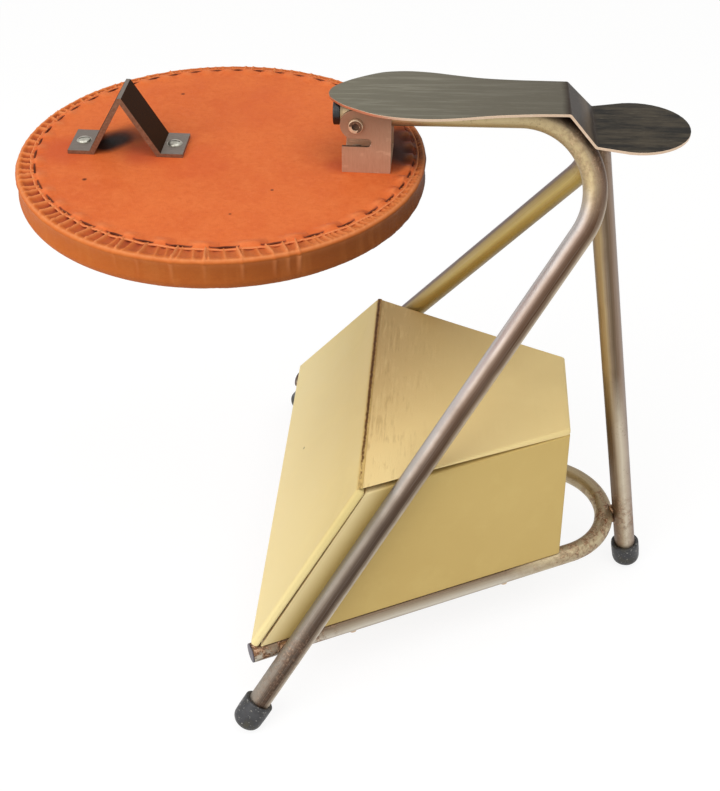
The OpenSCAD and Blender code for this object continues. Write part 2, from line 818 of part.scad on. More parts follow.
// Half widths of the box at the top edge and at the foot of the lid
function wall_y(x, z) = arm_y(x) + wall_out / cos(arm_angle) - (z - box_z) * tan(wall_lean) / cos(arm_angle);
lid_foot_x = lid_edge_x - lid_len * sin(lid_lean);
lid_top_y = wall_y(lid_edge_x, box_top_z);
lid_low_y = wall_y(lid_foot_x, box_top_z - lid_drop);

module hinge_strip() {
    color("saddlebrown") translate([lid_edge_x + fit, -lid_top_y, box_top_z + seam])
        cube([strip_w, 2 * lid_top_y, strip_t]);
}

// Puts a thing on the lid's outer face: its X across, its Y up the slope, its Z outwards
module lid_place() {
    translate([lid_edge_x, 0, box_top_z]) rotate([0, lid_lean, 0]) rotate([90, 0, -90]) children();
}

module lid_panel() {
    color("palegoldenrod") lid_place() translate([0, 0, -lid_t]) linear_extrude(lid_t)
        polygon([[-lid_low_y, -lid_len], [lid_low_y, -lid_len], [lid_top_y, 0], [-lid_top_y, 0]]);
}

front_tube();
rear_tube();
heel_leg();
rail_tube();
tube_plugs();
rail_caps();
front_foot();
rear_foot();
heel_foot();
foot_plate();
plate_welds();
rail_welds();
hinge_bolt();
hinge_nut();
hinge_spacers();
seat_bracket();
bracket_screws();
seat_board();
seat_pad();
seat_cover();
seat_underlay();
seat_lacing();
seat_rest();
rest_screws();
box_floor();
box_front();
box_back();
box_end();
box_top();
box_screws();
hinge_strip();
lid_panel();
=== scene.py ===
import math
import random

import bmesh
import bpy
import numpy as np
from mathutils import Matrix, Vector, noise
from mathutils.kdtree import KDTree


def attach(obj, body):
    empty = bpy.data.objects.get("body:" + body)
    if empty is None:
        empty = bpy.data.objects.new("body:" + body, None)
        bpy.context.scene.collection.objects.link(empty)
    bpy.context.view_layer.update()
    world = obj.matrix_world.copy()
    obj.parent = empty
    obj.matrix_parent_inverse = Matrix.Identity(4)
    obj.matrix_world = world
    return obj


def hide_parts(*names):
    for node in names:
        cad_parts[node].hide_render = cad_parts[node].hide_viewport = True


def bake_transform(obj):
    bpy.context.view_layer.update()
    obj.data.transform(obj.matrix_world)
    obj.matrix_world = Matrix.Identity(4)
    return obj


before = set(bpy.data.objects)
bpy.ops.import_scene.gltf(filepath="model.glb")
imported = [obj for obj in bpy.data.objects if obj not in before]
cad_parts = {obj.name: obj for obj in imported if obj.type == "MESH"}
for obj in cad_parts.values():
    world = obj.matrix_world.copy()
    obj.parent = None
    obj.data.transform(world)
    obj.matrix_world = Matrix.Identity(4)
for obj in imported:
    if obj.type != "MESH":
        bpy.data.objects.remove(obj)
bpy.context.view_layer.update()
mm = 0.001
print("frame loaded:", len(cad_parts), "nodes")


def place(name, data):
    piece = bpy.data.objects.new(name, data)
    bpy.context.scene.collection.objects.link(piece)
    return piece


def makeObject(name, points, faces, smooth=True):
    mesh = bpy.data.meshes.new(name)
    mesh.from_pydata([tuple(p) for p in points], [], [tuple(f) for f in faces])
    mesh.update()
    mesh.polygons.foreach_set("use_smooth", [smooth] * len(mesh.polygons))
    return place(name, mesh)


def bandFaces(rings, count):
    # the faces between rings of count points
    return [(k * count + j, k * count + (j + 1) % count, (k + 1) * count + (j + 1) % count, (k + 1) * count + j)
            for k in range(rings - 1) for j in range(count)]


def tubeFaces(rings, count):
    # the same, with both ends closed
    return bandFaces(rings, count) + [tuple(range(count - 1, -1, -1)),
                                      tuple((rings - 1) * count + j for j in range(count))]


def outward(piece):
    # merges doubles, then points every face out of the closed shape
    shape = bmesh.new()
    shape.from_mesh(piece.data)
    bmesh.ops.remove_doubles(shape, verts=shape.verts, dist=1e-7)
    bmesh.ops.recalc_face_normals(shape, faces=shape.faces)
    shape.to_mesh(piece.data)
    shape.free()
    return piece


def pointValues(piece, **lists):
    # keeps a number or a place for every point of a piece, for its material or its nodes
    for name, values in lists.items():
        values = np.asarray(values, np.float32)
        kind, field = ("FLOAT_VECTOR", "vector") if values.ndim == 2 else ("FLOAT", "value")
        piece.data.attributes.new(name, kind, "POINT").data.foreach_set(field, values.ravel())


def settle(piece):
    # turns the evaluated shape into a plain mesh with no modifiers
    graph = bpy.context.evaluated_depsgraph_get()
    mesh = bpy.data.meshes.new_from_object(piece.evaluated_get(graph), preserve_all_data_layers=True,
                                           depsgraph=graph)
    piece.modifiers.clear()
    piece.data = mesh
    return piece


def mergedNode(node):
    # a CAD node's mesh with its doubled points merged
    shape = bmesh.new()
    shape.from_mesh(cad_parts[node].data)
    bmesh.ops.remove_doubles(shape, verts=shape.verts, dist=4e-6)
    return shape


def cadCopy(node, name):
    # a copy of a CAD node, with its flat faces whole again
    shape = mergedNode(node)
    bmesh.ops.dissolve_limit(shape, angle_limit=math.radians(0.6), verts=shape.verts, edges=shape.edges)
    mesh = bpy.data.meshes.new(name)
    shape.to_mesh(mesh)
    shape.free()
    return place(name, mesh)


def eased(piece, width, segments=2, angle=32, edgeFinish=-1):
    # rounds the edges a little, so that they catch the light; edgeFinish picks their material
    bevel = piece.modifiers.new("Bevel", "BEVEL")
    bevel.width, bevel.segments = width, segments
    bevel.limit_method, bevel.angle_limit = "ANGLE", math.radians(angle)
    bevel.miter_outer = "MITER_ARC"
    bevel.use_clamp_overlap = True
    bevel.material = edgeFinish
    settle(piece)
    piece.data.polygons.foreach_set("use_smooth", [True] * len(piece.data.polygons))
    weigh = piece.modifiers.new("Weighted Normal", "WEIGHTED_NORMAL")
    weigh.weight, weigh.keep_sharp = 80, True
    return settle(piece)


def finish(piece, *materials):
    piece.data.materials.clear()
    for m in materials:
        piece.data.materials.append(m)


def fit(piece, body, slotName, materials, *nodes):
    if materials:
        finish(piece, *materials)
    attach(piece, body)
    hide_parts(*nodes)
    return piece


def softStep(low, high, value):
    t = np.clip((value - low) / (high - low), 0, 1)
    return t * t * (3 - 2 * t)


def paint(r, g, b):
    # a colour given as it looks on a screen, 0 to 255
    return tuple(((c / 255 + 0.055) / 1.055) ** 2.4 if c > 10 else c / 255 / 12.92 for c in (r, g, b))


class Wire:
    # an output socket that can be used in a Python sum
    def __init__(self, nodes, socket):
        self.nodes, self.socket = nodes, socket

    def math(self, kind, *others):
        return self.nodes.node("ShaderNodeMath", {"operation": kind}, dict(enumerate((self, *others))))

    def __add__(self, other):
        return self.math("ADD", other)

    def __sub__(self, other):
        return self.math("SUBTRACT", other)

    def __rsub__(self, other):
        return self.nodes.node("ShaderNodeMath", {"operation": "SUBTRACT"}, {0: other, 1: self})

    def __mul__(self, other):
        return self.math("MULTIPLY", other)

    def __truediv__(self, other):
        return self.math("DIVIDE", other)

    def __pow__(self, other):
        return self.math("POWER", other)

    __radd__, __rmul__ = __add__, __mul__


class Nodes:
    # a node tree under construction
    def __init__(self, tree):
        self.tree = tree
        tree.nodes.clear()

    def feed(self, socket, value):
        # a colour in whole numbers is a screen tone, one in fractions is used as it is
        if isinstance(value, Wire):
            self.tree.links.new(value.socket, socket)
        elif socket.type == "RGBA":
            socket.default_value = (*(paint(*value) if isinstance(value[0], int) else value), 1)
        else:
            socket.default_value = value

    def node(self, kind, settings=None, values=None, out=0):
        made = self.tree.nodes.new(kind)
        for key, value in (settings or {}).items():
            setattr(made, key, value)
        for key, value in (values or {}).items():
            self.feed(made.inputs[key], value)
        return Wire(self, made.outputs[out] if made.outputs else None)

    def looked(self):
        # 1 for a ray of the camera, straight, by reflection or through something clear
        rays = [self.node("ShaderNodeLightPath", out=f"Is {kind} Ray") for kind in ("Camera", "Glossy", "Transmission")]
        return rays[0] + rays[1] + rays[2]


class Bench(Nodes):
    # one material under construction
    sockets = {"color": "Base Color", "rough": "Roughness", "metal": "Metallic", "normal": "Normal",
               "specular": "Specular IOR Level"}

    def __init__(self, name):
        self.material = bpy.data.materials.new(name)
        self.material.use_nodes = True
        super().__init__(self.material.node_tree)

    def show(self, shader):
        self.node("ShaderNodeOutputMaterial", {}, {0: shader})
        return self.material

    def set(self, **values):
        return self.show(self.node("ShaderNodeBsdfPrincipled", {}, {self.sockets[k]: v for k, v in values.items()}))

    def where(self, scale=(1, 1, 1), turn=(0, 0, 0), shift=(0, 0, 0), of=None):
        source = of or self.node("ShaderNodeTexCoord", out="Object")
        return self.node("ShaderNodeMapping", {}, {"Vector": source, "Scale": scale, "Rotation": turn,
                                                   "Location": shift})

    def attribute(self, name, out="Fac"):
        return self.node("ShaderNodeAttribute", {"attribute_name": name}, out=out)

    def axis(self, name):
        # one object coordinate, in metres
        return self.node("ShaderNodeSeparateXYZ", {}, {0: self.node("ShaderNodeTexCoord", out="Object")}, out=name)

    def noise(self, where, scale, detail=3, roughness=0.5, warp=0):
        return self.node("ShaderNodeTexNoise", {}, {"Vector": where, "Scale": scale, "Detail": detail,
                                                    "Roughness": roughness, "Distortion": warp})

    def cells(self, where, scale, feature="F1"):
        return self.node("ShaderNodeTexVoronoi", {"feature": feature}, {"Vector": where, "Scale": scale})

    def ramp(self, value, first, *others):
        # each stop is its place and its screen tone
        made = self.node("ShaderNodeValToRGB", {}, {0: value})
        stops = made.socket.node.color_ramp.elements
        stops.remove(stops[0])
        stops[0].position, stops[0].color = first[0], (*paint(*first[1:]), 1)
        for stop, *tone in others:
            stops.new(stop).color = (*paint(*tone), 1)
        return made

    def span(self, value, low, high, to0=0.0, to1=1.0):
        return self.node("ShaderNodeMapRange", {"clamp": True}, {0: value, 1: low, 2: high, 3: to0, 4: to1})

    def mix(self, share, a, b):
        return self.node("ShaderNodeMix", {"data_type": "RGBA", "clamp_factor": True}, {0: share, 6: a, 7: b}, out=2)

    def tint(self, color, tone, value, low, high, amount=1.0):
        # brings a tone in where a value goes from low to high
        return self.mix(self.span(value, low, high, 0.0, amount), color, tone)

    def marked(self, color, marks):
        # a mark is its place, its reach, where it has faded to nothing, its tone and its strength
        for spot, reach, tone, amount in marks:
            gap = self.node("ShaderNodeVectorMath", {"operation": "DISTANCE"},
                            {0: self.node("ShaderNodeTexCoord", out="Object"), 1: spot}, out="Value")
            color = self.tint(color, tone, gap, reach, reach * 0.45, amount)
        return color

    def bump(self, height, strength=0.5, distance=0.001):
        return self.node("ShaderNodeBump", {}, {"Height": height, "Strength": strength, "Distance": distance})


class Tree(Nodes):
    # a Geometry Nodes tree with named inputs
    def __init__(self, name, **inputs):
        super().__init__(bpy.data.node_groups.new(name, "GeometryNodeTree"))
        face = self.tree.interface
        for way in ("INPUT", "OUTPUT"):
            face.new_socket("Geometry", in_out=way, socket_type="NodeSocketGeometry")
        self.names, self.values = {}, inputs
        for key, value in inputs.items():
            kind = ("NodeSocketMaterial" if isinstance(value, bpy.types.Material) else
                    "NodeSocketVector" if isinstance(value, tuple) else "NodeSocketFloat")
            self.names[key] = face.new_socket(key, in_out="INPUT", socket_type=kind).identifier
        self.enter = self.tree.nodes.new("NodeGroupInput")
        self.leave = self.tree.nodes.new("NodeGroupOutput")

    def take(self, name):
        return Wire(self, self.enter.outputs[name])

    def own(self, name, kind="FLOAT"):
        # a value kept with each point
        return self.node("GeometryNodeInputNamedAttribute", {"data_type": kind}, {"Name": name})

    def xyz(self, x, y, z):
        return self.node("ShaderNodeCombineXYZ", {}, {0: x, 1: y, 2: z})

    def moved(self, shape, **changes):
        return self.node("GeometryNodeTransform", {}, {"Geometry": shape, **changes})

    def join(self, *parts):
        whole = self.node("GeometryNodeJoinGeometry")
        for part in parts:
            self.tree.links.new(part.socket, whole.socket.node.inputs[0])
        return whole

    def spun(self, turn, angle):
        # a rotation with a further turn round its own upright
        spin = self.node("FunctionNodeEulerToRotation", {}, {0: self.xyz(0.0, 0.0, angle)})
        return self.node("FunctionNodeRotateRotation", {"rotation_space": "LOCAL"}, {0: turn, 1: spin})

    def run(self, piece, shape, **settings):
        # sets the shape on every point of a piece, realizes it and keeps it as a plain mesh
        whole = self.node("GeometryNodeInstanceOnPoints", {}, {"Points": self.take("Geometry"), "Instance": shape,
                                                               **settings})
        whole = self.node("GeometryNodeRealizeInstances", {}, {0: whole})
        whole = self.node("GeometryNodeSetMaterial", {}, {"Geometry": whole, "Material": self.take("Material")})
        self.feed(self.leave.inputs[0], whole)
        modifier = piece.modifiers.new(self.tree.name, "NODES")
        modifier.node_group = self.tree
        for key, value in self.values.items():
            modifier[self.names[key]] = value
        return settle(piece)


view = {"place": (0.07065, -0.88596, 0.88247), "yaw": -4.7, "pitch": 38.2, "roll": -1.0, "lens": 66.24, "sensor": 36.0}


def makeCamera():
    yaw, pitch, roll = (math.radians(view[k]) for k in ("yaw", "pitch", "roll"))
    ahead = Vector((math.sin(yaw) * math.cos(pitch), math.cos(yaw) * math.cos(pitch), -math.sin(pitch)))
    right = Vector((math.cos(yaw), -math.sin(yaw), 0))
    up = right.cross(ahead)
    rolledRight = math.cos(roll) * right + math.sin(roll) * up
    rolledUp = -math.sin(roll) * right + math.cos(roll) * up
    data = bpy.data.cameras.new("camera")
    data.sensor_fit, data.sensor_width, data.lens = "HORIZONTAL", view["sensor"], view["lens"]
    data.clip_start, data.clip_end = 0.05, 20
    camera = place("camera", data)
    turn = Matrix((rolledRight, rolledUp, -ahead)).transposed().to_4x4()
    camera.matrix_world = Matrix.Translation(view["place"]) @ turn
    bpy.context.scene.camera = camera


# each light has its power, its size, its place and what it is aimed at
studio = {"lights": {"keyLight": (31.0, 2.1, (-1.35, -1.25, 1.55), (-0.05, 0, 0.25)),
                     "fillLight": (2.0, 1.6, (1.7, -1.2, 0.9), (0, 0, 0.25)),
                     "topLight": (9.0, 1.2, (0.55, -0.5, 1.9), (0.05, 0, 0.2))},
          "worldLight": 0.50, "worldTone": (1.0, 0.985, 0.96), "white": (1.0, 1.0, 1.0),
          "floorWhite": 0.8, "floorGlow": 1.07, "floorTone": (0.93, 0.93, 0.93), "floorSize": 6.0}


def makeStudio():
    world = bpy.data.worlds.new("studio")
    bpy.context.scene.world = world
    world.use_nodes = True
    sky = Nodes(world.node_tree)
    dim = sky.node("ShaderNodeBackground", {}, {0: studio["worldTone"], 1: studio["worldLight"]})
    white = sky.node("ShaderNodeBackground", {}, {0: studio["white"], 1: 1.0})
    both = sky.node("ShaderNodeMixShader", {}, {0: sky.looked(), 1: dim, 2: white})
    sky.node("ShaderNodeOutputWorld", {}, {0: both})

    for name, (power, size, spot, aim) in studio["lights"].items():
        data = bpy.data.lights.new(name, "AREA")
        data.shape, data.size, data.energy = "SQUARE", size, power
        lamp = place(name, data)
        lamp.location = spot
        lamp.rotation_mode = "QUATERNION"
        lamp.rotation_quaternion = (Vector(aim) - Vector(spot)).to_track_quat("-Z", "Y")

    half = studio["floorSize"] / 2
    floor = makeObject("floor", [(-half, -half, 0), (half, -half, 0), (half, half, 0), (-half, half, 0)],
                       [(0, 1, 2, 3)], smooth=False)
    b = Bench("floorPaint")
    matt = b.node("ShaderNodeBsdfPrincipled", {}, {"Base Color": studio["floorTone"], "Roughness": 0.9,
                                                   "Specular IOR Level": 0.1})
    glow = b.node("ShaderNodeEmission", {}, {0: studio["white"], 1: studio["floorGlow"]})
    floor.data.materials.append(b.show(b.node("ShaderNodeMixShader", {}, {0: b.looked() * studio["floorWhite"],
                                                                          1: matt, 2: glow})))


makeCamera()
makeStudio()
print("camera and studio made")


def nickelPaint(name, fresh, aged, dull=None, rust=0.3, rough=0.42):
    # fresh, aged and dull list the tones from the upper left of a tube round to its lower right; besides tarnish they
    # hold a painted highlight, painted shade and painted reflections, which are weaker in dull
    b = Bench(name)
    where = b.where()
    run = b.attribute("run", "Vector")          # place on the tube, as if it were straight
    lines = b.noise(b.where((1400, 1400, 14), of=run), 1, 3, 0.6)
    clouds, fine, age = b.noise(where, 34, 5, 0.6), b.noise(where, 520, 3, 0.7), b.attribute("age")
    # the ramps paint a highlight, shade and reflections round the tube, and tarnish where it is aged
    turn = b.attribute("across") * 0.5 + 0.5 + (clouds - 0.5) * 0.14 + (lines - 0.5) * 0.05
    tone = b.tint(b.ramp(turn, *fresh), b.ramp(turn, *aged), age + (clouds - 0.5) * 0.4, 0.25, 0.8)
    if dull:
        tone = b.tint(tone, b.ramp(turn, *dull), b.attribute("dull") + (clouds - 0.5) * 0.3, 0.1, 0.9)
    tone = b.tint(tone, (222, 214, 204), lines, 0.5, 0.75, 0.12)
    spots = b.span(fine, 0.58, 0.7) * b.span(clouds, 0.42, 0.68) * b.span(age, 0.1, 0.8, 0.15, 1.0)
    tone = b.mix(spots * 0.8, tone, (92, 70, 48))
    worn = b.span(b.noise(where, 150, 5, 0.7, 0.6), 0.44, 0.6) * b.attribute("grime")
    rusty = b.ramp(fine, (0.3, 62, 38, 22), (0.52, 122, 80, 48), (0.66, 214, 178, 146))
    tone = b.mix(worn * (rust * 2), tone, rusty)
    roughness = b.span(clouds, 0.3, 0.8, rough - 0.05, rough + 0.1) + worn * 0.2 + spots * 0.12
    return b.set(color=tone, rough=roughness, metal=0.82 - worn * 0.5,
                 normal=b.bump(lines * 0.5 + worn * 3 + fine * 0.4, 0.12, 0.0003))


def steelPaint(name, tone, dark, rough=0.38, grain=(14, 260, 260), scratch=0.2, metal=1.0, heel=None, shade=None,
               specular=0.5):
    # sheet steel with a brushed grain along one way; shade is (axis, from, to, tone, amount)
    b = Bench(name)
    lines, clouds = b.noise(b.where(grain), 6, 4, 0.65), b.noise(b.where(), 26, 4, 0.55)
    marks = b.span(b.noise(b.where((30, 420, 60), (0, 0, 0.35)), 3.0, 3, 0.6), 0.6, 0.72)
    mixed = b.mix(b.span(lines, 0.3, 0.7) * 0.55, dark, tone)
    mixed = b.tint(mixed, dark, clouds, 0.4, 0.75, 0.4)
    if heel:
        # worn lighter in long streaks; the heel end is duller and darker, and the step between has painted shade in its
        # folds
        start, slope, end = heel["stepAt"]
        broad = b.noise(b.where((7, 100, 60), (0, 0, 0.03)), 2.2, 4, 0.65)
        patch = b.span(b.noise(b.where((14, 70, 40), (0, 0, 0.12)), 2.2, 5, 0.65), 0.4, 0.62)
        x = b.axis("X") + (clouds - 0.5) * 0.005
        mixed = b.tint(mixed, heel["worn"], broad, 0.5, 0.66, 0.45)
        mixed = b.tint(mixed, dark, broad, 0.46, 0.34, 0.35)
        mixed = b.tint(mixed, heel["middle"], x, -0.01, 0.15, 0.8)
        step = b.mix(b.span(x, slope, slope + 8 * mm), heel["fold"], heel["slope"])
        mixed = b.tint(mixed, step, x, start, start + 5 * mm)
        mixed = b.tint(mixed, b.mix(patch, heel["dark"], heel["rubbed"]), x, end, end + 2.5 * mm)
        mixed = b.mix(b.span(x, end - 2.5 * mm, end + 1 * mm) * b.span(x, end + 5.5 * mm, end + 2 * mm),
                      mixed, heel["fold"])
        metal = metal - b.span(x, start, start + 5.5 * mm) * b.span(x, end + 4.5 * mm, end, 0.82, 0.95)
    mixed = b.mix(marks * scratch, mixed, tuple(min(1.0, c * 1.7) for c in paint(*tone)))
    if shade:
        axis, low, high, shadeTone, amount = shade
        mixed = b.tint(mixed, shadeTone, b.axis(axis), low, high, amount)
    return b.set(color=mixed, rough=b.span(lines, 0.2, 0.8, rough - 0.08, rough + 0.1), metal=metal,
                 specular=specular, normal=b.bump(lines + marks, 0.1, 0.0003))


def leatherPaint(name, tone, deep, pale, shadeSide=0.0, marks=()):
    b = Bench(name)
    where = b.where()
    clouds, blotch = b.noise(where, 15, 5, 0.55, 0.3), b.noise(b.where(shift=(3, 1, 2)), 60, 4, 0.6)
    fibre = b.noise(b.where(turn=(0.2, 0.1, 0.6)), 300, 4, 0.65)
    mottle = b.noise(b.where((1, 1.3, 1), (0, 0, 0.4)), 170, 4, 0.7, 0.5)
    color = tone
    for to, value, low, high, amount in ((deep, clouds, 0.35, 0.72, 0.55), (pale, blotch, 0.44, 0.72, 0.4),
                                         (deep, fibre, 0.5, 0.7, 0.36), (deep, mottle, 0.52, 0.66, 0.3),
                                         (pale, mottle, 0.46, 0.34, 0.25)):
        color = b.tint(color, to, value, low, high, amount)
    if shadeSide:
        # painted shade: the side browner, and darker still round to the hinge end, with less of it on the far left and
        # lighter streaks down it
        beside, x = b.attribute("beside"), b.axis("X")
        streak = b.noise(b.where((1.0, 1.0, 0.05)), 130, 3, 0.5)
        hingeShade = b.span(x, -0.22, 0.045) ** 1.25 * shadeSide * (beside * 0.8 + 0.2)
        for share, to in ((beside * 0.62, (176, 92, 32)), (hingeShade, (82, 44, 12)),
                          (b.span(x, -0.20, -0.255) * beside * 0.5, (190, 104, 50)),
                          (b.span(streak, 0.5, 0.7) * beside * 0.12, (206, 132, 70))):
            color = b.mix(share, color, to)
    specks = b.span(b.cells(where, 190), 0.0, 0.07, 1.0, 0.0) * b.span(blotch, 0.5, 0.7)
    color = b.marked(b.mix(specks * 0.45, color, (120, 52, 26)), marks)
    # painted shade in the hollows, the slits under the thread and the tufts' sides; then a painted highlight on crests
    # and edges, mixed with wear
    fold = b.attribute("fold")
    color = b.tint(color, b.mix(b.span(blotch, 0.4, 0.6), (178, 84, 46), (150, 62, 36)), fold, 0.0, 0.55)
    color = b.tint(color, (84, 34, 24), fold, 0.5, 1.0)
    color = b.mix(b.attribute("wear") * 0.8, color, (236, 152, 98))
    grain = b.cells(where, 900, "DISTANCE_TO_EDGE")
    creases = b.noise(b.where(turn=(0.4, 0.2, 1.1)), 120, 4, 0.6, 0.8)
    height = b.span(grain, 0.0, 0.18) * 0.5 + b.noise(where, 1500, 3, 0.6) * 0.5 + creases * 1.6 + fibre * 0.8
    return b.set(color=color, rough=b.span(blotch, 0.3, 0.8, 0.55, 0.7), specular=0.12,
                 normal=b.bump(height, 0.3, 0.0006))


def clothPaint(name, tone, deep, pale, wrinkled=0.0, marks=(), paler=None):
    # leatherette on the box; wrinkled is how strongly it creases beside the hinge seam, and also brings in painted
    # shade towards the top's far left and a painted light towards its front; paler picks where it is lighter: with edge
    # a painted light on the wall beside the lid's edge, with foot towards the lid's foot
    b = Bench(name)
    where = b.where()
    clouds, stain = b.noise(where, 9, 4, 0.5), b.noise(b.where(shift=(5, 2, 1)), 42, 5, 0.6)
    color = b.tint(b.tint(tone, deep, clouds, 0.35, 0.7, 0.5), pale, stain, 0.52, 0.8, 0.22)
    if wrinkled:
        # painted shade: the top darker towards its far left, under the seat, and painted light towards its front
        color = b.tint(color, (168, 138, 88), b.axis("Y") - b.axis("X") * 0.9, -0.10, 0.13, 0.85)
        color = b.tint(color, pale, b.axis("Y"), -0.03, -0.13, 0.5)
    if paler == "edge":
        # a painted light on the wall beside the lid's edge
        fromLid = b.axis("X") - b.axis("Z") * 0.67
        color = b.tint(color, (246, 228, 176), fromLid, -0.096, -0.112, 0.75)
    elif paler == "foot":
        color = b.tint(color, (252, 234, 176), b.axis("Z"), 0.17, 0.06, 0.75)
    color = b.marked(color, marks)
    height = b.span(b.cells(where, 1300, "DISTANCE_TO_EDGE"), 0.0, 0.2) * 0.35 + b.noise(where, 260, 3, 0.6)
    if wrinkled:
        ripple = b.noise(b.where((1.0, 0.1, 1.0), (0, 0, 0.05)), 420, 3, 0.55, 0.5)
        beside = b.span(b.axis("X"), 0.012, 0.07, 1.0, 0.05) * b.span(b.noise(where, 60, 3, 0.6), 0.4, 0.62)
        folds = b.span(ripple, 0.5, 0.64) * beside
        height = height + folds * wrinkled
        # a painted highlight on the creases and painted shade between them
        color = b.mix(folds * 0.3, color, pale)
        color = b.mix(b.span(ripple, 0.47, 0.38) * beside * 0.3, color, (160, 126, 76))
    return b.set(color=color, rough=b.span(stain, 0.3, 0.8, 0.44, 0.56), specular=0.16,
                 normal=b.bump(height, 0.2, 0.0005))


def plainPaint(name, tone, dark, rough=0.5, metal=0.0, scale=120, bumpy=0.2):
    b = Bench(name)
    where = b.where()
    clouds, fine = b.noise(where, scale, 4, 0.6), b.noise(where, scale * 7, 3, 0.6)
    return b.set(color=b.tint(tone, dark, clouds, 0.35, 0.7), rough=b.span(fine, 0.3, 0.7, rough - 0.07, rough + 0.09),
                 metal=metal, normal=b.bump(clouds + fine * 0.6, bumpy, 0.0004))


def rubberPaint(name):
    b = Bench(name)
    where = b.where()
    clouds, dust = b.noise(where, 70, 4, 0.6), b.noise(where, 420, 4, 0.75)
    color = b.tint((70, 70, 72), (40, 40, 42), clouds, 0.35, 0.7)
    color = b.tint(color, (96, 92, 76), clouds, 0.5, 0.7, 0.5)
    color = b.tint(color, (178, 176, 168), dust, 0.6, 0.66, 0.75)
    return b.set(color=color, rough=b.span(clouds, 0.3, 0.7, 0.36, 0.55), specular=0.3,
                 normal=b.bump(dust + clouds, 0.25, 0.0004))


def woodPaint(name, tone, dark):
    b = Bench(name)
    rings = b.node("ShaderNodeTexWave", {"wave_type": "BANDS", "bands_direction": "Y"},
                   {"Vector": b.where(), "Scale": 22, "Distortion": 6, "Detail": 3, "Detail Scale": 1.5})
    fibre = b.noise(b.where((30, 500, 500)), 1, 4, 0.7)
    return b.set(color=b.mix(b.span(rings, 0.2, 0.9) * 0.5 + fibre * 0.3, tone, dark), rough=0.68,
                 normal=b.bump(fibre, 0.2, 0.0003))


def threadPaint(name):
    b = Bench(name)
    twist = b.node("ShaderNodeTexWave", {"wave_type": "BANDS", "bands_direction": "DIAGONAL"},
                   {"Vector": b.where(), "Scale": 420, "Distortion": 0.6})
    color = b.mix(twist * 0.5, (116, 58, 38), (146, 88, 64))
    color = b.tint(color, (78, 34, 20), b.noise(b.where(), 40, 3, 0.6), 0.42, 0.58, 0.7)
    return b.set(color=color, rough=0.75, specular=0.1, normal=b.bump(twist, 0.4, 0.0004))


def seamPaint(name, middle):
    # leatherette cracked through to brown along its middle, more at the far end
    b = Bench(name)
    y = b.axis("Y")
    coarse, wander = b.noise(b.where(), 55, 4, 0.6), b.noise(b.where(shift=(2, 4, 0)), 210, 4, 0.7)
    fine = b.noise(b.where((1, 0.35, 1)), 700, 4, 0.7)
    away = (b.axis("X") - middle + (wander - 0.5) * 0.0026).math("ABSOLUTE")
    crack = b.span(y + (coarse - 0.5) * 0.16, -0.13, 0.02, 0.15, 1.0)
    line = b.span(away, 0.0014, 0.0006) * b.span(fine + crack * 0.4, 0.52, 0.66)
    stained = b.span(away, 0.0026, 0.0008) * crack
    # painted shade: darker towards the far end, as on the box top
    color = b.mix(stained * 0.6, b.mix(b.span(y, -0.05, 0.1), (220, 192, 122), (186, 152, 96)), (140, 100, 56))
    color = b.mix(line, color, b.mix(b.span(fine, 0.3, 0.6), (62, 36, 12), (104, 70, 30)))
    return b.set(color=color, rough=0.55, specular=0.16, normal=b.bump(fine + coarse, 0.4, 0.0006))


# the marks on the leather and the lid: place, reach, tone, strength; most are stains, and the large dark ones by the
# strip's left leg and the bracket are painted shadow
marks = {
    "panel": [((-0.1963, -0.0491, 0.4133), 0.0022, (84, 34, 22), 0.9),
              ((-0.1497, 0.0959, 0.4124), 0.0020, (104, 44, 30), 0.9),
              ((-0.0586, -0.0536, 0.4106), 0.0016, (110, 46, 28), 0.9),
              ((-0.0837, -0.0894, 0.4111), 0.0013, (120, 50, 30), 0.9),
              ((-0.125, -0.020, 0.4119), 0.034, (206, 78, 38), 0.3),
              ((-0.085, 0.075, 0.4110), 0.040, (214, 96, 50), 0.3),
              ((-0.2200, -0.0060, 0.4137), 0.026, (196, 72, 42), 0.5),
              ((-0.1600, -0.0060, 0.4126), 0.024, (190, 66, 36), 0.55),
              # painted shadow at the foot of the strip's left leg
              ((-0.1740, 0.0250, 0.4129), 0.018, (128, 60, 36), 0.6),
              ((-0.1850, 0.0180, 0.4131), 0.014, (76, 34, 22), 0.7),
              ((-0.1930, 0.0050, 0.4132), 0.015, (26, 12, 8), 0.95),
              ((-0.1850, 0.0130, 0.4131), 0.013, (30, 14, 10), 0.85),
              ((-0.0130, -0.0120, 0.4098), 0.015, (186, 64, 38), 0.4),
              # painted shadow beside the bracket
              ((0.0300, 0.0050, 0.4090), 0.026, (112, 50, 28), 0.6),
              ((0.0320, 0.0280, 0.4089), 0.036, (70, 28, 12), 0.95),
              ((0.0360, 0.0060, 0.4088), 0.018, (64, 26, 12), 0.9)],
    # painted shadow behind the bracket
    "cover": [((0.0460, 0.0200, 0.4080), 0.038, (40, 18, 8), 0.9)],
    "lid": [((-0.0552, 0.0181, 0.1061), 0.0016, (96, 84, 56), 0.9)]}
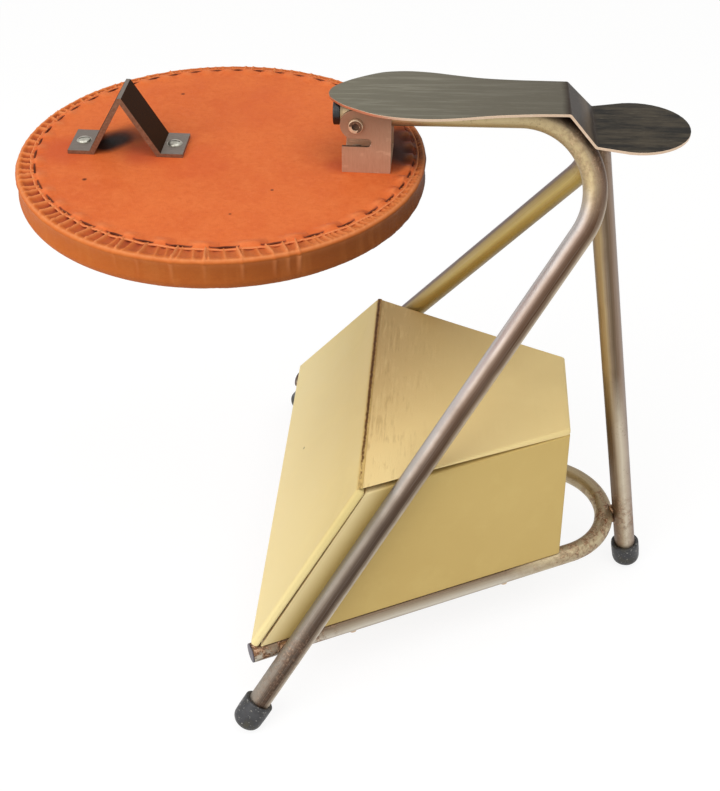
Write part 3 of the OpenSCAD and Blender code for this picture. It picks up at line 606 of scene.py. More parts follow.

# the tones round each tube, as (place, red, green, blue): fresh, aged and, on the near one, dull; besides tarnish they
# hold a painted highlight, painted shade and painted reflections
tubeLightAndTarnish = {
    "near": (((0.0, 160, 152, 148), (0.09, 200, 196, 194), (0.2, 204, 198, 194), (0.33, 166, 152, 142),
              (0.45, 132, 112, 98), (0.58, 108, 84, 68), (0.78, 84, 60, 42), (0.9, 126, 106, 86), (1.0, 200, 184, 160)),
             ((0.0, 170, 150, 112), (0.15, 194, 174, 130), (0.4, 178, 158, 120), (0.6, 148, 128, 102),
              (0.8, 114, 90, 72), (0.92, 98, 76, 62), (1.0, 150, 130, 112)),
             ((0.0, 142, 134, 122), (0.12, 154, 148, 137), (0.3, 132, 122, 110), (0.5, 102, 88, 76),
              (0.66, 80, 64, 52), (0.8, 73, 57, 45), (0.9, 126, 110, 92), (1.0, 199, 187, 168))),
    "far": (((0.0, 104, 86, 86), (0.14, 112, 92, 82), (0.26, 170, 148, 102), (0.6, 192, 168, 100),
             (0.85, 180, 156, 88), (1.0, 134, 112, 72)),
            ((0.0, 120, 106, 88), (0.5, 176, 152, 104), (1.0, 140, 118, 84))),
    "heel": (((0.0, 132, 112, 84), (0.12, 170, 146, 106), (0.28, 180, 156, 114), (0.42, 138, 118, 94),
              (0.58, 104, 86, 66), (0.72, 122, 100, 80), (0.86, 150, 130, 114), (1.0, 150, 136, 126)),
             ((0.0, 104, 82, 60), (0.2, 124, 102, 78), (0.4, 172, 154, 128), (0.6, 204, 192, 170),
              (0.8, 182, 166, 148), (1.0, 142, 126, 116))),
    "rail": (((0.0, 70, 52, 38), (0.2, 92, 72, 54), (0.38, 116, 98, 78), (0.58, 164, 150, 130),
              (0.82, 204, 196, 180), (1.0, 150, 134, 116)),
             ((0.0, 142, 125, 96), (0.4, 188, 172, 138), (0.75, 174, 158, 128), (1.0, 200, 187, 160)))}
# the plate's heel tones; the fold tone is painted shade in the step's folds
plateHeel = {"worn": (158, 154, 136), "middle": (84, 77, 62), "dark": (24, 20, 14), "rubbed": (66, 58, 45),
             "slope": (92, 76, 56), "fold": (46, 35, 25), "stepAt": (146.5 * mm, 160 * mm, 169 * mm)}

paints = {
    "nearTube": nickelPaint("nearTubeNickel", *tubeLightAndTarnish["near"]),
    "farTube": nickelPaint("farTubeNickel", *tubeLightAndTarnish["far"], rust=0.5),
    "heelTube": nickelPaint("heelTubeNickel", *tubeLightAndTarnish["heel"], rust=0.4),
    "rail": nickelPaint("railNickel", *tubeLightAndTarnish["rail"], rust=0.7),
    "plate": steelPaint("plateSteel", (130, 124, 104), (104, 99, 82), heel=plateHeel, specular=0.06),
    # the edge finishes are lighter copies of the steel, a painted highlight along eased edges
    "plateEdge": steelPaint("plateEdge", (240, 216, 190), (204, 176, 150), 0.34, (200, 200, 200)),
    "bracket": steelPaint("bracketSteel", (212, 174, 146), (184, 147, 120), 0.46, (160, 160, 20), metal=0.4,
                          shade=("Z", 0.424, 0.452, (136, 98, 74), 0.75), specular=0.3),
    "bracketEdge": steelPaint("bracketEdge", (232, 200, 170), (198, 160, 130), 0.38, (90, 90, 90), metal=0.5),
    "strip": steelPaint("stripSteel", (146, 136, 128), (104, 92, 82), 0.4, (40, 180, 180), metal=0.7),
    # painted shade on the strip's sloping legs, as a dark matt copy of its steel
    "stripLegShade": steelPaint("stripTarnish", (78, 48, 26), (36, 22, 14), 0.55, (40, 180, 180), 0.05, metal=0.0,
                            specular=0.02),
    "stripEdge": steelPaint("stripEdge", (166, 132, 108), (120, 90, 70), 0.42, (90, 90, 90), metal=0.5,
                            specular=0.2),
    "screw": plainPaint("screwSteel", (186, 184, 172), (140, 134, 122), 0.34, 0.85, 260, 0.15),
    # the slot and recess finishes are painted shade in the screws' slots, the bracket's slot and the bolt's socket
    "slot": plainPaint("screwSlot", (84, 76, 66), (52, 46, 40), 0.6, 0.3, 260, 0.1),
    "bolt": plainPaint("boltSteel", (226, 200, 168), (188, 158, 128), 0.4, 0.5, 260, 0.1),
    "recess": plainPaint("boltRecess", (112, 80, 56), (70, 48, 34), 0.6, 0.2, 260, 0.1),
    "cap": plainPaint("capSteel", (112, 104, 112), (78, 72, 78), 0.42, 0.7, 150),
    "weld": plainPaint("weldBead", (176, 140, 108), (86, 56, 36), 0.42, 0.7, 420, 0.9),
    "plug": plainPaint("blackPlug", (26, 26, 28), (16, 16, 18), 0.3, 0.0, 160, 0.08),
    "rubber": rubberPaint("footRubber"),
    "wood": woodPaint("plywood", (198, 160, 112), (158, 118, 74)),
    # the cover's leather is the panel's in a darker tone, partly its own and partly painted shade for its side
    "leather": leatherPaint("tanLeather", (212, 110, 46), (192, 92, 36), (222, 132, 66), 0.85, marks["cover"]),
    "flatLeather": leatherPaint("tanLeatherFlat", (226, 114, 56), (208, 92, 42), (234, 132, 74), 0.0, marks["panel"]),
    "thread": threadPaint("darkThread"),
    # the walls, the top and the lid are one leatherette in lit and shaded copies, painted lightest on the top and
    # darkest on the walls
    "cloth": clothPaint("boxCloth", (208, 180, 112), (197, 167, 99), (222, 200, 130), paler="edge"),
    "topCloth": clothPaint("topCloth", (240, 216, 152), (230, 204, 138), (248, 228, 166), wrinkled=4.0),
    "lidCloth": clothPaint("lidCloth", (225, 205, 141), (214, 193, 128), (240, 222, 160), 0.0, marks["lid"], "foot"),
    "seam": seamPaint("brownSeam", 6.8 * mm)}
print("materials made:", len(paints))


def arcPoints(centre, u, v, radius, start, stop, count):
    return [centre + radius * (math.cos(a) * u + math.sin(a) * v)
            for a in (start + (stop - start) * k / count for k in range(count + 1))]


def straightPoints(a, b, step=8 * mm):
    count = max(1, int(round((b - a).length / step)))
    return [a.lerp(b, k / count) for k in range(count + 1)]


def joined(*parts):
    path = []
    for part in parts:
        path += [p for p in part if not path or (p - path[-1]).length > 1e-6]
    return path


faceOut = Vector((0.063, 0.786, -0.618))     # from the front, down on the chair; the tubes' painted highlight and shade are laid out square to it


def sweepTube(name, node, slotName, paintName, path, radius, ageAt, soiled, dullAt=None, endPlane=None, low=None,
              flip=1, sides=40):
    # ageAt gives 0 bright to 1 tarnished at a place; soiled lists (place, reach, amount) of dirt and rust;
    # the painted highlight and shade in the tones run from one side to the other, square to faceOut, or towards low
    count = len(path)
    tangents = [(path[min(i + 1, count - 1)] - path[max(i - 1, 0)]).normalized() for i in range(count)]
    side = tangents[0].orthogonal().normalized()
    points, across, run, age, dull, grime, gone = [], [], [], [], [], [], 0.0
    for k, (p, t) in enumerate(zip(path, tangents)):
        side = (side - side.dot(t) * t).normalized()
        other = t.cross(side)
        paintedToneWay = t.cross(faceOut) * flip if low is None else low - low.dot(t) * t
        paintedToneWay.normalize()
        gone += (p - path[k - 1]).length if k else 0.0
        for j in range(sides):
            a = 2 * math.pi * j / sides
            out = math.cos(a) * side + math.sin(a) * other
            q = p + radius * out
            if endPlane is not None and k == count - 1:
                q = q + t * ((endPlane - q.z) / t.z)
            points.append(q)
            across.append(out.dot(paintedToneWay))
            run.append((radius * math.cos(a), radius * math.sin(a), gone))
            age.append(ageAt(p))
            dull.append(dullAt(p) if dullAt else 0.0)
            grime.append(min(1, sum(amount * math.exp(-((q - spot).length / reach) ** 2)
                                    for spot, reach, amount in soiled)))
    piece = makeObject(name, points, tubeFaces(count, sides))
    pointValues(piece, across=across, run=run, age=age, dull=dull, grime=grime)
    outward(piece)
    for face in piece.data.polygons:
        face.use_smooth = len(face.vertices) == 4
    return fit(piece, "stand", slotName, [paints[paintName]], node)


legs = {"radius": 9 * mm, "overhang": 11.5 * mm, "axisHeight": 451 * mm, "gap": 0.8 * mm,
        "bendStart": 118.5 * mm, "bendRadius": 55.5 * mm, "bendAngle": 121.7, "splay": 24.2,
        "footBase": 5 * mm, "heelFootX": 242.4 * mm, "heelTopX": 174 * mm, "heelUnder": 437 * mm,
        "agedZ": (0.36, 0.43), "dullZ": (0.30, 0.13), "heelAgedZ": (0.26, 0.12)}
feet = {"length": 24 * mm, "wall": 3.2 * mm, "round": 5 * mm, "flat": 1.2 * mm, "softRound": 8.6 * mm,
        "rim": 1.3 * mm, "flare": 0.25 * mm, "lumps": 0.25 * mm}
rail = {"radius": 8 * mm, "height": 57.9 * mm, "bendX": 156.93 * mm, "bendRadius": 59 * mm, "turn": 26.2214,
        "armEndX": -78.667 * mm, "agedX": (0.10, 0.18), "low": Vector((0.05, -0.62, -0.78))}
hingeZ = 447.5 * mm
# where dirt and rust sit, as (place, reach, amount); the legs' are given for the far one
dirt = {"legBend": ((0.165, 0.02, 0.435), 0.045, 0.75), "legAtRail": ((-0.05, 0.18, 0.058), 0.03, 0.8),
        "heelAtRail": ((0.228, 0, 0.062), 0.022, 1.0), "railAtHeel": ((0.222, 0, 0.058), 0.035, 0.6),
        "railBend": ((0.19, -0.05, 0.058), 0.05, 0.5), "railNear": ((-0.05, -0.177, 0.058), 0.03, 1.0),
        "railFar": ((-0.05, 0.177, 0.058), 0.03, 1.0)}


def soil(name, side=1):
    (x, y, z), reach, amount = dirt[name]
    return Vector((x, side * y, z)), reach, amount


def angleFromUp(run):
    return math.acos(min(1, abs(run.z)))


def footStart(tilt, rounding=feet["round"]):
    r = legs["radius"] + feet["wall"]
    return (rounding + (r - rounding) * math.sin(tilt) - feet["flat"]) / math.cos(tilt) - rounding


def bentPath(side):
    # side is -1 for the near tube and 1 for the far one; also gives the foot's place and the way up from it
    splay, ahead = math.radians(legs["splay"]), Vector((1, 0, 0))
    down = Vector((0, side * math.sin(splay), -math.cos(splay)))
    y = side * (legs["radius"] + legs["gap"] / 2)
    start = Vector((-legs["overhang"], y, legs["axisHeight"]))
    bend = Vector((legs["bendStart"], y, legs["axisHeight"]))
    angle, radius = math.radians(legs["bendAngle"]), legs["bendRadius"]
    arc = arcPoints(bend + radius * down, -down, ahead, radius, 0, angle, 48)
    run = math.cos(angle) * ahead + math.sin(angle) * down
    end = arc[-1]
    length = end.z / -run.z
    foot = end + run * (length - footStart(angleFromUp(run)) - legs["footBase"])
    return joined(straightPoints(start, bend), arc, straightPoints(end, foot)), end + run * length, -run


def railPath():
    turn = math.radians(rail["turn"])
    centre = Vector((rail["bendX"], 0, rail["height"]))
    arc = arcPoints(centre, Vector((1, 0, 0)), Vector((0, 1, 0)), rail["bendRadius"],
                    turn - math.pi / 2, math.pi / 2 - turn, 56)

    def armEnd(p, side):
        along = (p.x - rail["armEndX"]) / math.cos(turn)
        return p + Vector((-math.cos(turn), side * math.sin(turn), 0)) * along
    return joined(straightPoints(armEnd(arc[0], -1), arc[0]), arc, straightPoints(arc[-1], armEnd(arc[-1], 1)))


def lathe(name, profile, origin, axis, sides=48):
    # profile lists (radius, height); a radius of zero closes the end
    axis = axis.normalized()
    side = axis.orthogonal().normalized()
    other = axis.cross(side)
    points, rings, faces = [], [], []
    for r, h in profile:
        count = sides if r > 0 else 1
        rings.append(range(len(points), len(points) + count))
        points += [origin + axis * h + r * (math.cos(a) * side + math.sin(a) * other)
                   for a in (2 * math.pi * j / sides for j in range(count))]
    for low, high in zip(rings, rings[1:]):
        for j in range(sides):
            a, b = low[j % len(low)], low[(j + 1) % len(low)]
            c, d = high[(j + 1) % len(high)], high[j % len(high)]
            faces.append([a, c, d] if a == b else [a, b, c] if c == d else [a, b, c, d])
    return outward(makeObject(name, points, faces))


def rubberFoot(name, node, foot, up):
    legRadius, rim, soft = legs["radius"], feet["rim"], feet["softRound"]
    r = legRadius + feet["wall"]
    start = footStart(angleFromUp(up), soft)
    top = feet["length"] + footStart(angleFromUp(up)) - start
    wide = r + feet["flare"]
    profile = [(0, 0)] + [(r - soft + soft * math.sin(a), soft - soft * math.cos(a))
                          for a in (math.pi / 2 * k / 12 for k in range(13))]
    profile += [(r + 0.2 * mm, top * 0.6), (wide, top - 2.2 * mm)]
    profile += [(wide - rim + rim * math.cos(a), top - rim + rim * math.sin(a))
                for a in (math.pi / 2 * k / 4 for k in range(1, 5))]
    profile += [(legRadius + 0.5 * mm, top - 0.3 * mm), (legRadius - 0.3 * mm, top - 1.4 * mm), (0, top - 1.4 * mm)]
    piece = lathe(name, profile, foot + up * start, up)
    for vertex in piece.data.vertices:
        vertex.co += vertex.normal * (noise.noise(vertex.co * 160) * feet["lumps"])
        vertex.co.z = max(vertex.co.z, 0)
    return fit(piece, "stand", "grey_rubber", [paints["rubber"]], node)


def makeLegs():
    # gives back where each rubber foot goes
    spots = []
    for side, name, nodes in ((-1, "near", ("front_tube", "front_foot")), (1, "far", ("rear_tube", "rear_foot"))):
        path, foot, up = bentPath(side)
        soiled = [(path[0], 0.02, 0.5), soil("legBend", side), soil("legAtRail", side), (path[-1], 0.03, 0.5)]
        sweepTube(name + "LegTube", nodes[0], "nickel_tube", name + "Tube", path, legs["radius"],
                  lambda p: float(softStep(*legs["agedZ"], p.z)), soiled,
                  lambda p: float(softStep(*legs["dullZ"], p.z)))
        spots.append((name + "Foot", nodes[1], foot, up))
    foot, top = Vector((legs["heelFootX"], 0, 0)), Vector((legs["heelTopX"], 0, legs["heelUnder"]))
    up = (top - foot).normalized()
    start = foot + up * (footStart(angleFromUp(up)) + legs["footBase"])
    soiled = [(top, 0.03, 0.8), soil("heelAtRail"), (start, 0.03, 0.6)]
    sweepTube("heelLegTube", "heel_leg", "nickel_tube", "heelTube", straightPoints(start, top), legs["radius"],
              lambda p: float(softStep(*legs["heelAgedZ"], p.z)), soiled, endPlane=legs["heelUnder"], flip=-1)
    return spots + [("heelFoot", "heel_foot", foot, up)]


def makeRail():
    path = railPath()
    soiled = [(path[0], 0.035, 1.0), (path[-1], 0.035, 1.0), soil("railAtHeel"), soil("railBend"),
              soil("railNear"), soil("railFar")]
    sweepTube("railTube", "rail_tube", "nickel_rail", "rail", path, rail["radius"],
              lambda p: float(softStep(*rail["agedX"], p.x)), soiled, low=rail["low"])


footSpots = makeLegs()
makeRail()
for values in footSpots:
    rubberFoot(*values)
print("tubes and feet made")

footPlate = {"bend": 4.2 * mm, "edge": 0.5 * mm, "bendLength": 20 * mm, "bendAngles": (20, 80)}


def makeFootPlate():
    # the CAD plate with its two bends rounded, then its edge eased
    piece, (least, most) = cadCopy("foot_plate", "footPlate"), footPlate["bendAngles"]
    shape = bmesh.new()
    shape.from_mesh(piece.data)
    bends = [e for e in shape.edges if len(e.link_faces) == 2
             and abs((e.verts[0].co - e.verts[1].co).y) > footPlate["bendLength"]
             and least < math.degrees(e.calc_face_angle()) < most]
    bmesh.ops.bevel(shape, geom=bends, offset=footPlate["bend"], segments=6, profile=0.5, affect="EDGES",
                    clamp_overlap=True)
    shape.to_mesh(piece.data)
    shape.free()
    eased(piece, footPlate["edge"], 3, 50)
    finish(piece, paints["plate"], paints["plateEdge"])
    # the plate's sides and ends take the edge finish, a painted highlight
    for face in piece.data.polygons:
        n = face.normal
        sideways = abs(n.y) > 0.35 or abs(n.z) < 0.2 and abs(n.y) > 0.1
        face.material_index = 1 if sideways or abs(n.x) > 0.97 else 0
    fit(piece, "stand", "plate_steel", None, "foot_plate")


def plainCad(node, name, body, slotName, paintNames, width, segments=2, angle=32):
    # a CAD node with its edges eased, in the last of its finishes where it has two or more, which paints a highlight
    # along them
    piece = eased(cadCopy(node, name), width, segments, angle, len(paintNames) - 1 or -1)
    return fit(piece, body, slotName, [paints[n] for n in paintNames], node)


def repaint(piece, paintName, chosen):
    # gives the chosen faces another finish
    if paints[paintName].name not in piece.data.materials:
        piece.data.materials.append(paints[paintName])
    index = piece.data.materials.find(paints[paintName].name)
    for face in piece.data.polygons:
        if chosen(face, face.center, face.normal):
            face.material_index = index


hinge = {"slot": (430 * mm, 434.5 * mm), "boltFace": -22.6 * mm, "recess": 2.9 * mm, "stripFoot": 415 * mm}


def makeSteelParts():
    makeFootPlate()
    bracket = plainCad("seat_bracket", "seatBracket", "seat", "bracket_steel", ["bracket", "bracketEdge"], 0.5 * mm)
    # painted shade in the bracket's slot
    repaint(bracket, "recess", lambda face, c, n: hinge["slot"][0] < c.z < hinge["slot"][1] and n.z > 0.8)
    strip = plainCad("seat_rest", "seatRest", "seat", "strip_steel", ["strip", "stripLegShade", "stripEdge"], 0.45 * mm)
    # a painted highlight on the strip's faces square to y
    repaint(strip, "stripEdge", lambda face, c, n: abs(n.y) > 0.8)
    # painted shade on the legs' sloping faces
    repaint(strip, "stripLegShade", lambda face, c, n: face.material_index == 0 and 0.25 < abs(n.z) < 0.95
            and c.z > hinge["stripFoot"])
    plainCad("tube_plugs", "tubePlugs", "stand", "black_plastic", ["plug"], 1.4 * mm, 4)
    plainCad("rail_caps", "railCaps", "stand", "steel_cap", ["cap", "plateEdge"], 0.5 * mm)
    plainCad("hinge_nut", "hingeNut", "stand", "bolt_steel", ["bolt"], 0.3 * mm)
    bolt = plainCad("hinge_bolt", "hingeBolt", "stand", "bolt_steel", ["bolt"], 0.45 * mm, 3)
    # painted shade in the bolt's socket
    repaint(bolt, "recess", lambda face, c, n: c.y < hinge["boltFace"]
            and math.hypot(c.x, c.z - hingeZ) < hinge["recess"])
    for node, paintName in (("hinge_spacers", "bolt"), ("box_screws", "bolt"), ("seat_board", "wood"),
                            ("box_floor", "wood")):
        finish(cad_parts[node], paints[paintName])


weld = {"voxel": 0.8 * mm, "lump": 330, "grain": 900}


def lumpyWeld(node, name, size):
    # a weld bead: the CAD bead remeshed finely and made uneven
    piece = cadCopy(node, name)
    remesh = piece.modifiers.new("Remesh", "REMESH")
    remesh.mode, remesh.voxel_size = "VOXEL", weld["voxel"]
    settle(piece)
    for vertex in piece.data.vertices:
        swell = noise.noise(vertex.co * weld["lump"]) + 0.6 * noise.noise(vertex.co * weld["grain"])
        vertex.co += vertex.normal * (swell * size)
    piece.data.polygons.foreach_set("use_smooth", [True] * len(piece.data.polygons))
    fit(piece, "stand", "weld", [paints["weld"]], node)


screws = {"radius": 5.3 * mm, "height": 2.4 * mm, "slotWidth": 1.1 * mm, "slotDepth": 1.0 * mm,
          "collar": 5.8 * mm, "collarHeight": 0.45 * mm, "shank": 1.6 * mm, "shankLength": 9 * mm,
          "shankMiddle": -4.6 * mm, "headTop": 2.1 * mm}
seatTilt = math.radians(1.1)                # how far the open seat hangs from level
seatUp = Vector((math.sin(seatTilt), 0, math.cos(seatTilt)))


def looseParts(node):
    # the separate solids of a CAD node, as lists of points
    shape = mergedNode(node)
    left, parts = set(shape.verts), []
    while left:
        stack, part = [left.pop()], []
        while stack:
            v = stack.pop()
            part.append(v.co.copy())
            for e in v.link_edges:
                w = e.other_vert(v)
                if w in left:
                    left.remove(w)
                    stack.append(w)
        parts.append(part)
    shape.free()
    return parts


def slottedScrews(name, node, turns):
    # one slotted round head for each of the node's screws, standing square to the seat
    parts = sorted(looseParts(node), key=lambda part: (min(p.x for p in part), min(p.y for p in part)))
    spots = []
    for part in parts:
        high = max(p.dot(seatUp) for p in part)
        middle = sum(part, Vector()) / len(part)
        spots.append(middle + seatUp * (high - screws["headTop"] - middle.dot(seatUp)))
    holder = makeObject(name, spots, [])
    pointValues(holder, slotTurn=turns)
    tree = Tree("slottedScrews", Radius=screws["radius"], Height=screws["height"], SlotWidth=screws["slotWidth"],
                SlotDepth=screws["slotDepth"], Collar=screws["collar"], CollarHeight=screws["collarHeight"],
                Shank=screws["shank"], Up=tuple(seatUp), Material=paints["screw"])
    radius, height = tree.take("Radius"), tree.take("Height")
    dome = tree.node("GeometryNodeMeshUVSphere", {}, {"Segments": 36, "Rings": 18, "Radius": radius})
    dome = tree.moved(dome, Scale=tree.xyz(1.0, 1.0, height / radius))
    slot = tree.node("GeometryNodeMeshCube", {}, {"Size": tree.xyz(radius * 3.0, tree.take("SlotWidth"), height)})
    slot = tree.moved(slot, Translation=tree.xyz(0.0, 0.0, height * 1.5 - tree.take("SlotDepth")))
    below = tree.node("GeometryNodeMeshCube", {}, {"Size": tree.xyz(radius * 3.0, radius * 3.0, radius)})
    below = tree.moved(below, Translation=tree.xyz(0.0, 0.0, radius * -0.5))
    head = tree.node("GeometryNodeMeshBoolean", {"operation": "DIFFERENCE"},
                     {"Mesh 1": dome, "Mesh 2": tree.join(slot, below)})
    collar = tree.node("GeometryNodeMeshCylinder", {}, {"Vertices": 36, "Radius": tree.take("Collar"),
                                                        "Depth": tree.take("CollarHeight")})
    shank = tree.node("GeometryNodeMeshCylinder", {}, {"Vertices": 16, "Radius": tree.take("Shank"),
                                                       "Depth": screws["shankLength"]})
    shank = tree.moved(shank, Translation=(0, 0, screws["shankMiddle"]))
    turn = tree.node("FunctionNodeAlignRotationToVector", {"axis": "Z"}, {"Vector": tree.take("Up")})
    piece = tree.run(holder, tree.join(head, collar, shank), Rotation=tree.spun(turn, tree.own("slotTurn")))
    floor = screws["height"] - screws["slotDepth"]

    # the slot's walls and floor take painted shade
    def inSlot(face, centre, normal):
        spot = min(spots, key=lambda p: (p - centre).length)
        high, tilt = (centre - spot).dot(seatUp), abs(normal.dot(seatUp))
        return high > floor + 0.05 * mm and tilt < 0.1 or abs(high - floor) < 0.06 * mm and tilt > 0.97
    repaint(piece, "slot", inSlot)
    fit(piece, "seat", "bolt_steel", None, node)


makeSteelParts()
lumpyWeld("rail_welds", "railWelds", 0.6 * mm)
lumpyWeld("plate_welds", "plateWelds", 0.35 * mm)
slottedScrews("restScrews", "rest_screws", [0.35, 0.05])
slottedScrews("bracketScrews", "bracket_screws", [0.9, 0.2, 1.3, 0.6])
print("steel parts made")


def slabCorners(node, u, v, w):
    # the eight corners of a panel, found along three directions; keyed by signs
    points = [x.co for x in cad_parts[node].data.vertices]

    def farthest(way):
        return max(points, key=lambda p: p.dot(way)).copy()
    return {(i, j, k): farthest(i * Vector(u) + j * Vector(v) + k * Vector(w))
            for i in (-1, 1) for j in (-1, 1) for k in (-1, 1)}


def softSlab(name, corners, radius, cell, swell):
    # a covered panel with rounded edges and a fine even grid; swell puffs its outer side a little
    ends = (-1, 1)
    size = [max((corners[1, j, k] - corners[-1, j, k]).length for j in ends for k in ends),
            max((corners[i, 1, k] - corners[i, -1, k]).length for i in ends for k in ends),
            max((corners[i, j, 1] - corners[i, j, -1]).length for i in ends for j in ends)]
    half = np.array(size) / 2

    def stops(length):
        inner = max(1, int((length - 2 * radius) / cell))
        curve = [radius * math.tan(math.pi / 4 * k / 5) for k in range(6)]
        middle = [radius + (length - 2 * radius) * k / inner for k in range(1, inner)]
        return np.array([radius - e for e in reversed(curve)] + middle
                        + [length - radius + e for e in curve]) - length / 2
    lines = [stops(s) for s in size]
    points, faces, lookup = [], [], {}

    def vertex(index):
        if index not in lookup:
            lookup[index] = len(points)
            p = np.array([line[i] for line, i in zip(lines, index)])
            core = np.clip(p, radius - half, half - radius)
            length = np.linalg.norm(p - core)
            if length > 1e-12:
                p = core + (p - core) / length * radius
            if swell and p[2] > 0:
                # fullest a little inside the edges
                inset = min(half[0] - abs(p[0]), half[1] - abs(p[1]))
                p[2] += swell * math.exp(-((inset - box["full"]) / box["full"]) ** 2) * (p[2] / half[2])
            t = p / half
            points.append(sum((spot * ((1 + i * t[0]) * (1 + j * t[1]) * (1 + k * t[2]) / 8)
                               for (i, j, k), spot in corners.items()), Vector()))
        return lookup[index]
    n = [len(line) - 1 for line in lines]
    for axis in range(3):
        a, b = (axis + 1) % 3, (axis + 2) % 3
        for end in (0, n[axis]):
            for p in range(n[a]):
                for q in range(n[b]):
                    ring = []
                    for dp, dq in ((0, 0), (1, 0), (1, 1), (0, 1)):
                        index = [0, 0, 0]
                        index[axis], index[a], index[b] = end, p + dp, q + dq
                        ring.append(vertex(tuple(index)))
                    faces.append(ring if end else ring[::-1])
    return outward(makeObject(name, points, faces))


box = {"turn": math.radians(26.2214), "radius": 1.6 * mm, "softRadius": 2.6 * mm, "cell": 3.0 * mm,
       "lidSwell": 0.35 * mm, "topSwell": 0.25 * mm, "full": 5 * mm, "gap": 1.4 * mm, "close": 0.7 * mm,
       "middle": Vector((0.05, 0, 0.13))}


def makePanels():
    # each panel's two ways along it and the way out of it; the slopes need only be near enough to tell the corners
    along, across = math.cos(box["turn"]), math.sin(box["turn"])
    walls = (box["radius"], 0.0, "stand", "box_cloth")
    for node, name, paintName, u, v, w, (radius, swell, body, slotName) in (
            ("box_front", "boxFront", "cloth", (along, across, 0), (0.12, -0.1, 1), (across, -along, 0.1), walls),
            ("box_back", "boxBack", "cloth", (along, -across, 0), (0.12, 0.1, 1), (across, along, 0.1), walls),
            ("box_end", "boxEnd", "cloth", (0, 1, 0), (0, 0, 1), (1, 0, 0), walls),
            ("box_top", "boxTop", "topCloth", (1, 0, 0), (0, 1, 0), (0, 0, 1),
             (box["softRadius"], box["topSwell"], "stand", "box_cloth")),
            ("lid_panel", "boxLid", "lidCloth", (0, 1, 0), (0.57, 0, 0.82), (-0.82, 0, 0.57),
             (box["softRadius"], box["lidSwell"], "lid", "lid_cloth"))):
        corners = slabCorners(node, u, v, w)
        if node in ("box_front", "box_back"):
            # the wall stands back from the lid, more near its foot
            for k in (-1, 1):
                low, high = corners[-1, -1, k], corners[-1, 1, k]
                low += (corners[1, -1, k] - low).normalized() * box["gap"]
                high -= (corners[1, 1, k] - high).normalized() * box["close"]
        slab = softSlab(name, corners, radius, box["cell"], swell)
        fit(slab, body, slotName, [paints[paintName], paints["wood"]], node)
        out = Vector(w).normalized()
        for face in slab.data.polygons:
            # bare plywood inside
            inward = face.normal.dot((box["middle"] - face.center).normalized())
            face.material_index = int(inward > 0.25 and abs(face.normal.dot(out)) > 0.9)


seam = {"x0": 5.2 * mm, "x1": 9.3 * mm, "z": 194.08 * mm, "raise": 1.15 * mm, "halfLength": 130.2 * mm,
        "rings": 420, "around": 10, "topSide": 8.6 * mm, "lidSide": 5.6 * mm}


def makeSeam():
    points = []
    for k in range(seam["rings"]):
        y = seam["halfLength"] * (2 * k / (seam["rings"] - 1) - 1)
        wave = 0.45 * mm * noise.noise(Vector((3, y * 120, 0))) + 0.25 * mm * noise.noise(Vector((8, y * 420, 0)))
        tall = seam["raise"] * (0.62 + 0.5 * noise.noise(Vector((1, y * 210, 2)))
                                + 0.3 * noise.noise(Vector((5, y * 640, 2))))
        for j in range(seam["around"]):
            a = math.pi * j / (seam["around"] - 1)
            x = (seam["x0"] + seam["x1"]) / 2 - math.cos(a) * (seam["x1"] - seam["x0"]) / 2
            ripple = 0.18 * mm * noise.noise(Vector((x * 900, y * 500, 4)))
            points.append((x + wave * math.sin(a), y,
                           seam["z"] + max(0.0, math.sin(a)) ** 0.8 * tall + ripple * math.sin(a)))
    piece = outward(makeObject("hingeSeam", points, tubeFaces(seam["rings"], seam["around"])))
    finish(piece, paints["seam"])
    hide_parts("hinge_strip")
    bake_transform(piece)


makePanels()
makeSeam()
print("box made")

seat = {"radius": 153 * mm, "offset": 101.9 * mm, "top": 409.5 * mm, "under": 408.0 * mm, "sideTop": 407.3 * mm,
        "sideLow": 392.5 * mm, "drawIn": 1.2 * mm, "edgeRadius": 8 * mm, "crown": 13 * mm, "hidden": 1.4 * mm,
        "around": 1440, "seed": 7}
lacing = {"radius": 141.2 * mm, "squeeze": 0.985, "shiftX": 0.4 * mm, "shiftY": 6.0 * mm, "toEdge": 3.3 * mm,
          "share": 0.6, "thread": 0.62 * mm, "rise": 0.95 * mm, "sunk": 0.95 * mm, "wander": 0.3 * mm,
          "bulge": 3.4 * mm, "bulgeAt": math.radians(325), "seed": 11, "firstStitch": 255.8,
          "pitch": ((0, 8.0), (60, 7.5), (100, 7.3), (150, 8.4), (181, 8.0), (192, 10.4), (213, 8.6), (230, 10.2),
                    (246, 9.4), (256, 10.4), (267, 12.4), (280, 13.0), (292, 11.6), (304, 10.4), (318, 9.6),
                    (345, 6.6), (360, 8.0))}
# spans are (up to this angle, step, height, length down the side), each drawn between two values
gather = {"frontRidges": (250.2, 256.6, 265.6, 274.1, 283.6, 291.9, 295.4), "bigFold": 298.4,
          "spans": ((35, (1.1, 2.4), (0.1, 0.4), None), (150, (2.2, 4.6), (0.3, 0.8), None),
                    (246, (2.5, 4.3), (0.5, 1.0), (0.0, 0.2)), (297, (2.6, 4.6), (0.1, 0.42), None),
                    (360, (1.1, 2.4), (0.1, 0.4), None)),
          "rise": 2.2 * mm, "depth": 1.15 * mm, "ridgeWidth": 0.85, "crest": 151.0 * mm, "ringRadius": 148}
deg = np.arange(seat["around"]) * 360 / seat["around"]
rad = np.radians(deg)


def onSeat(x, y, z):
    # from the level seat, round its own centre, to its tilted place; takes arrays
    dx, dz = x - seat["offset"], z - hingeZ
    return np.stack([dx * math.cos(seatTilt) + dz * math.sin(seatTilt), y + 0 * dx,
                     hingeZ - dx * math.sin(seatTilt) + dz * math.cos(seatTilt)], axis=-1)


def seatCentre(z):
    return onSeat(np.array(0.0), np.array(0.0), np.array(z))


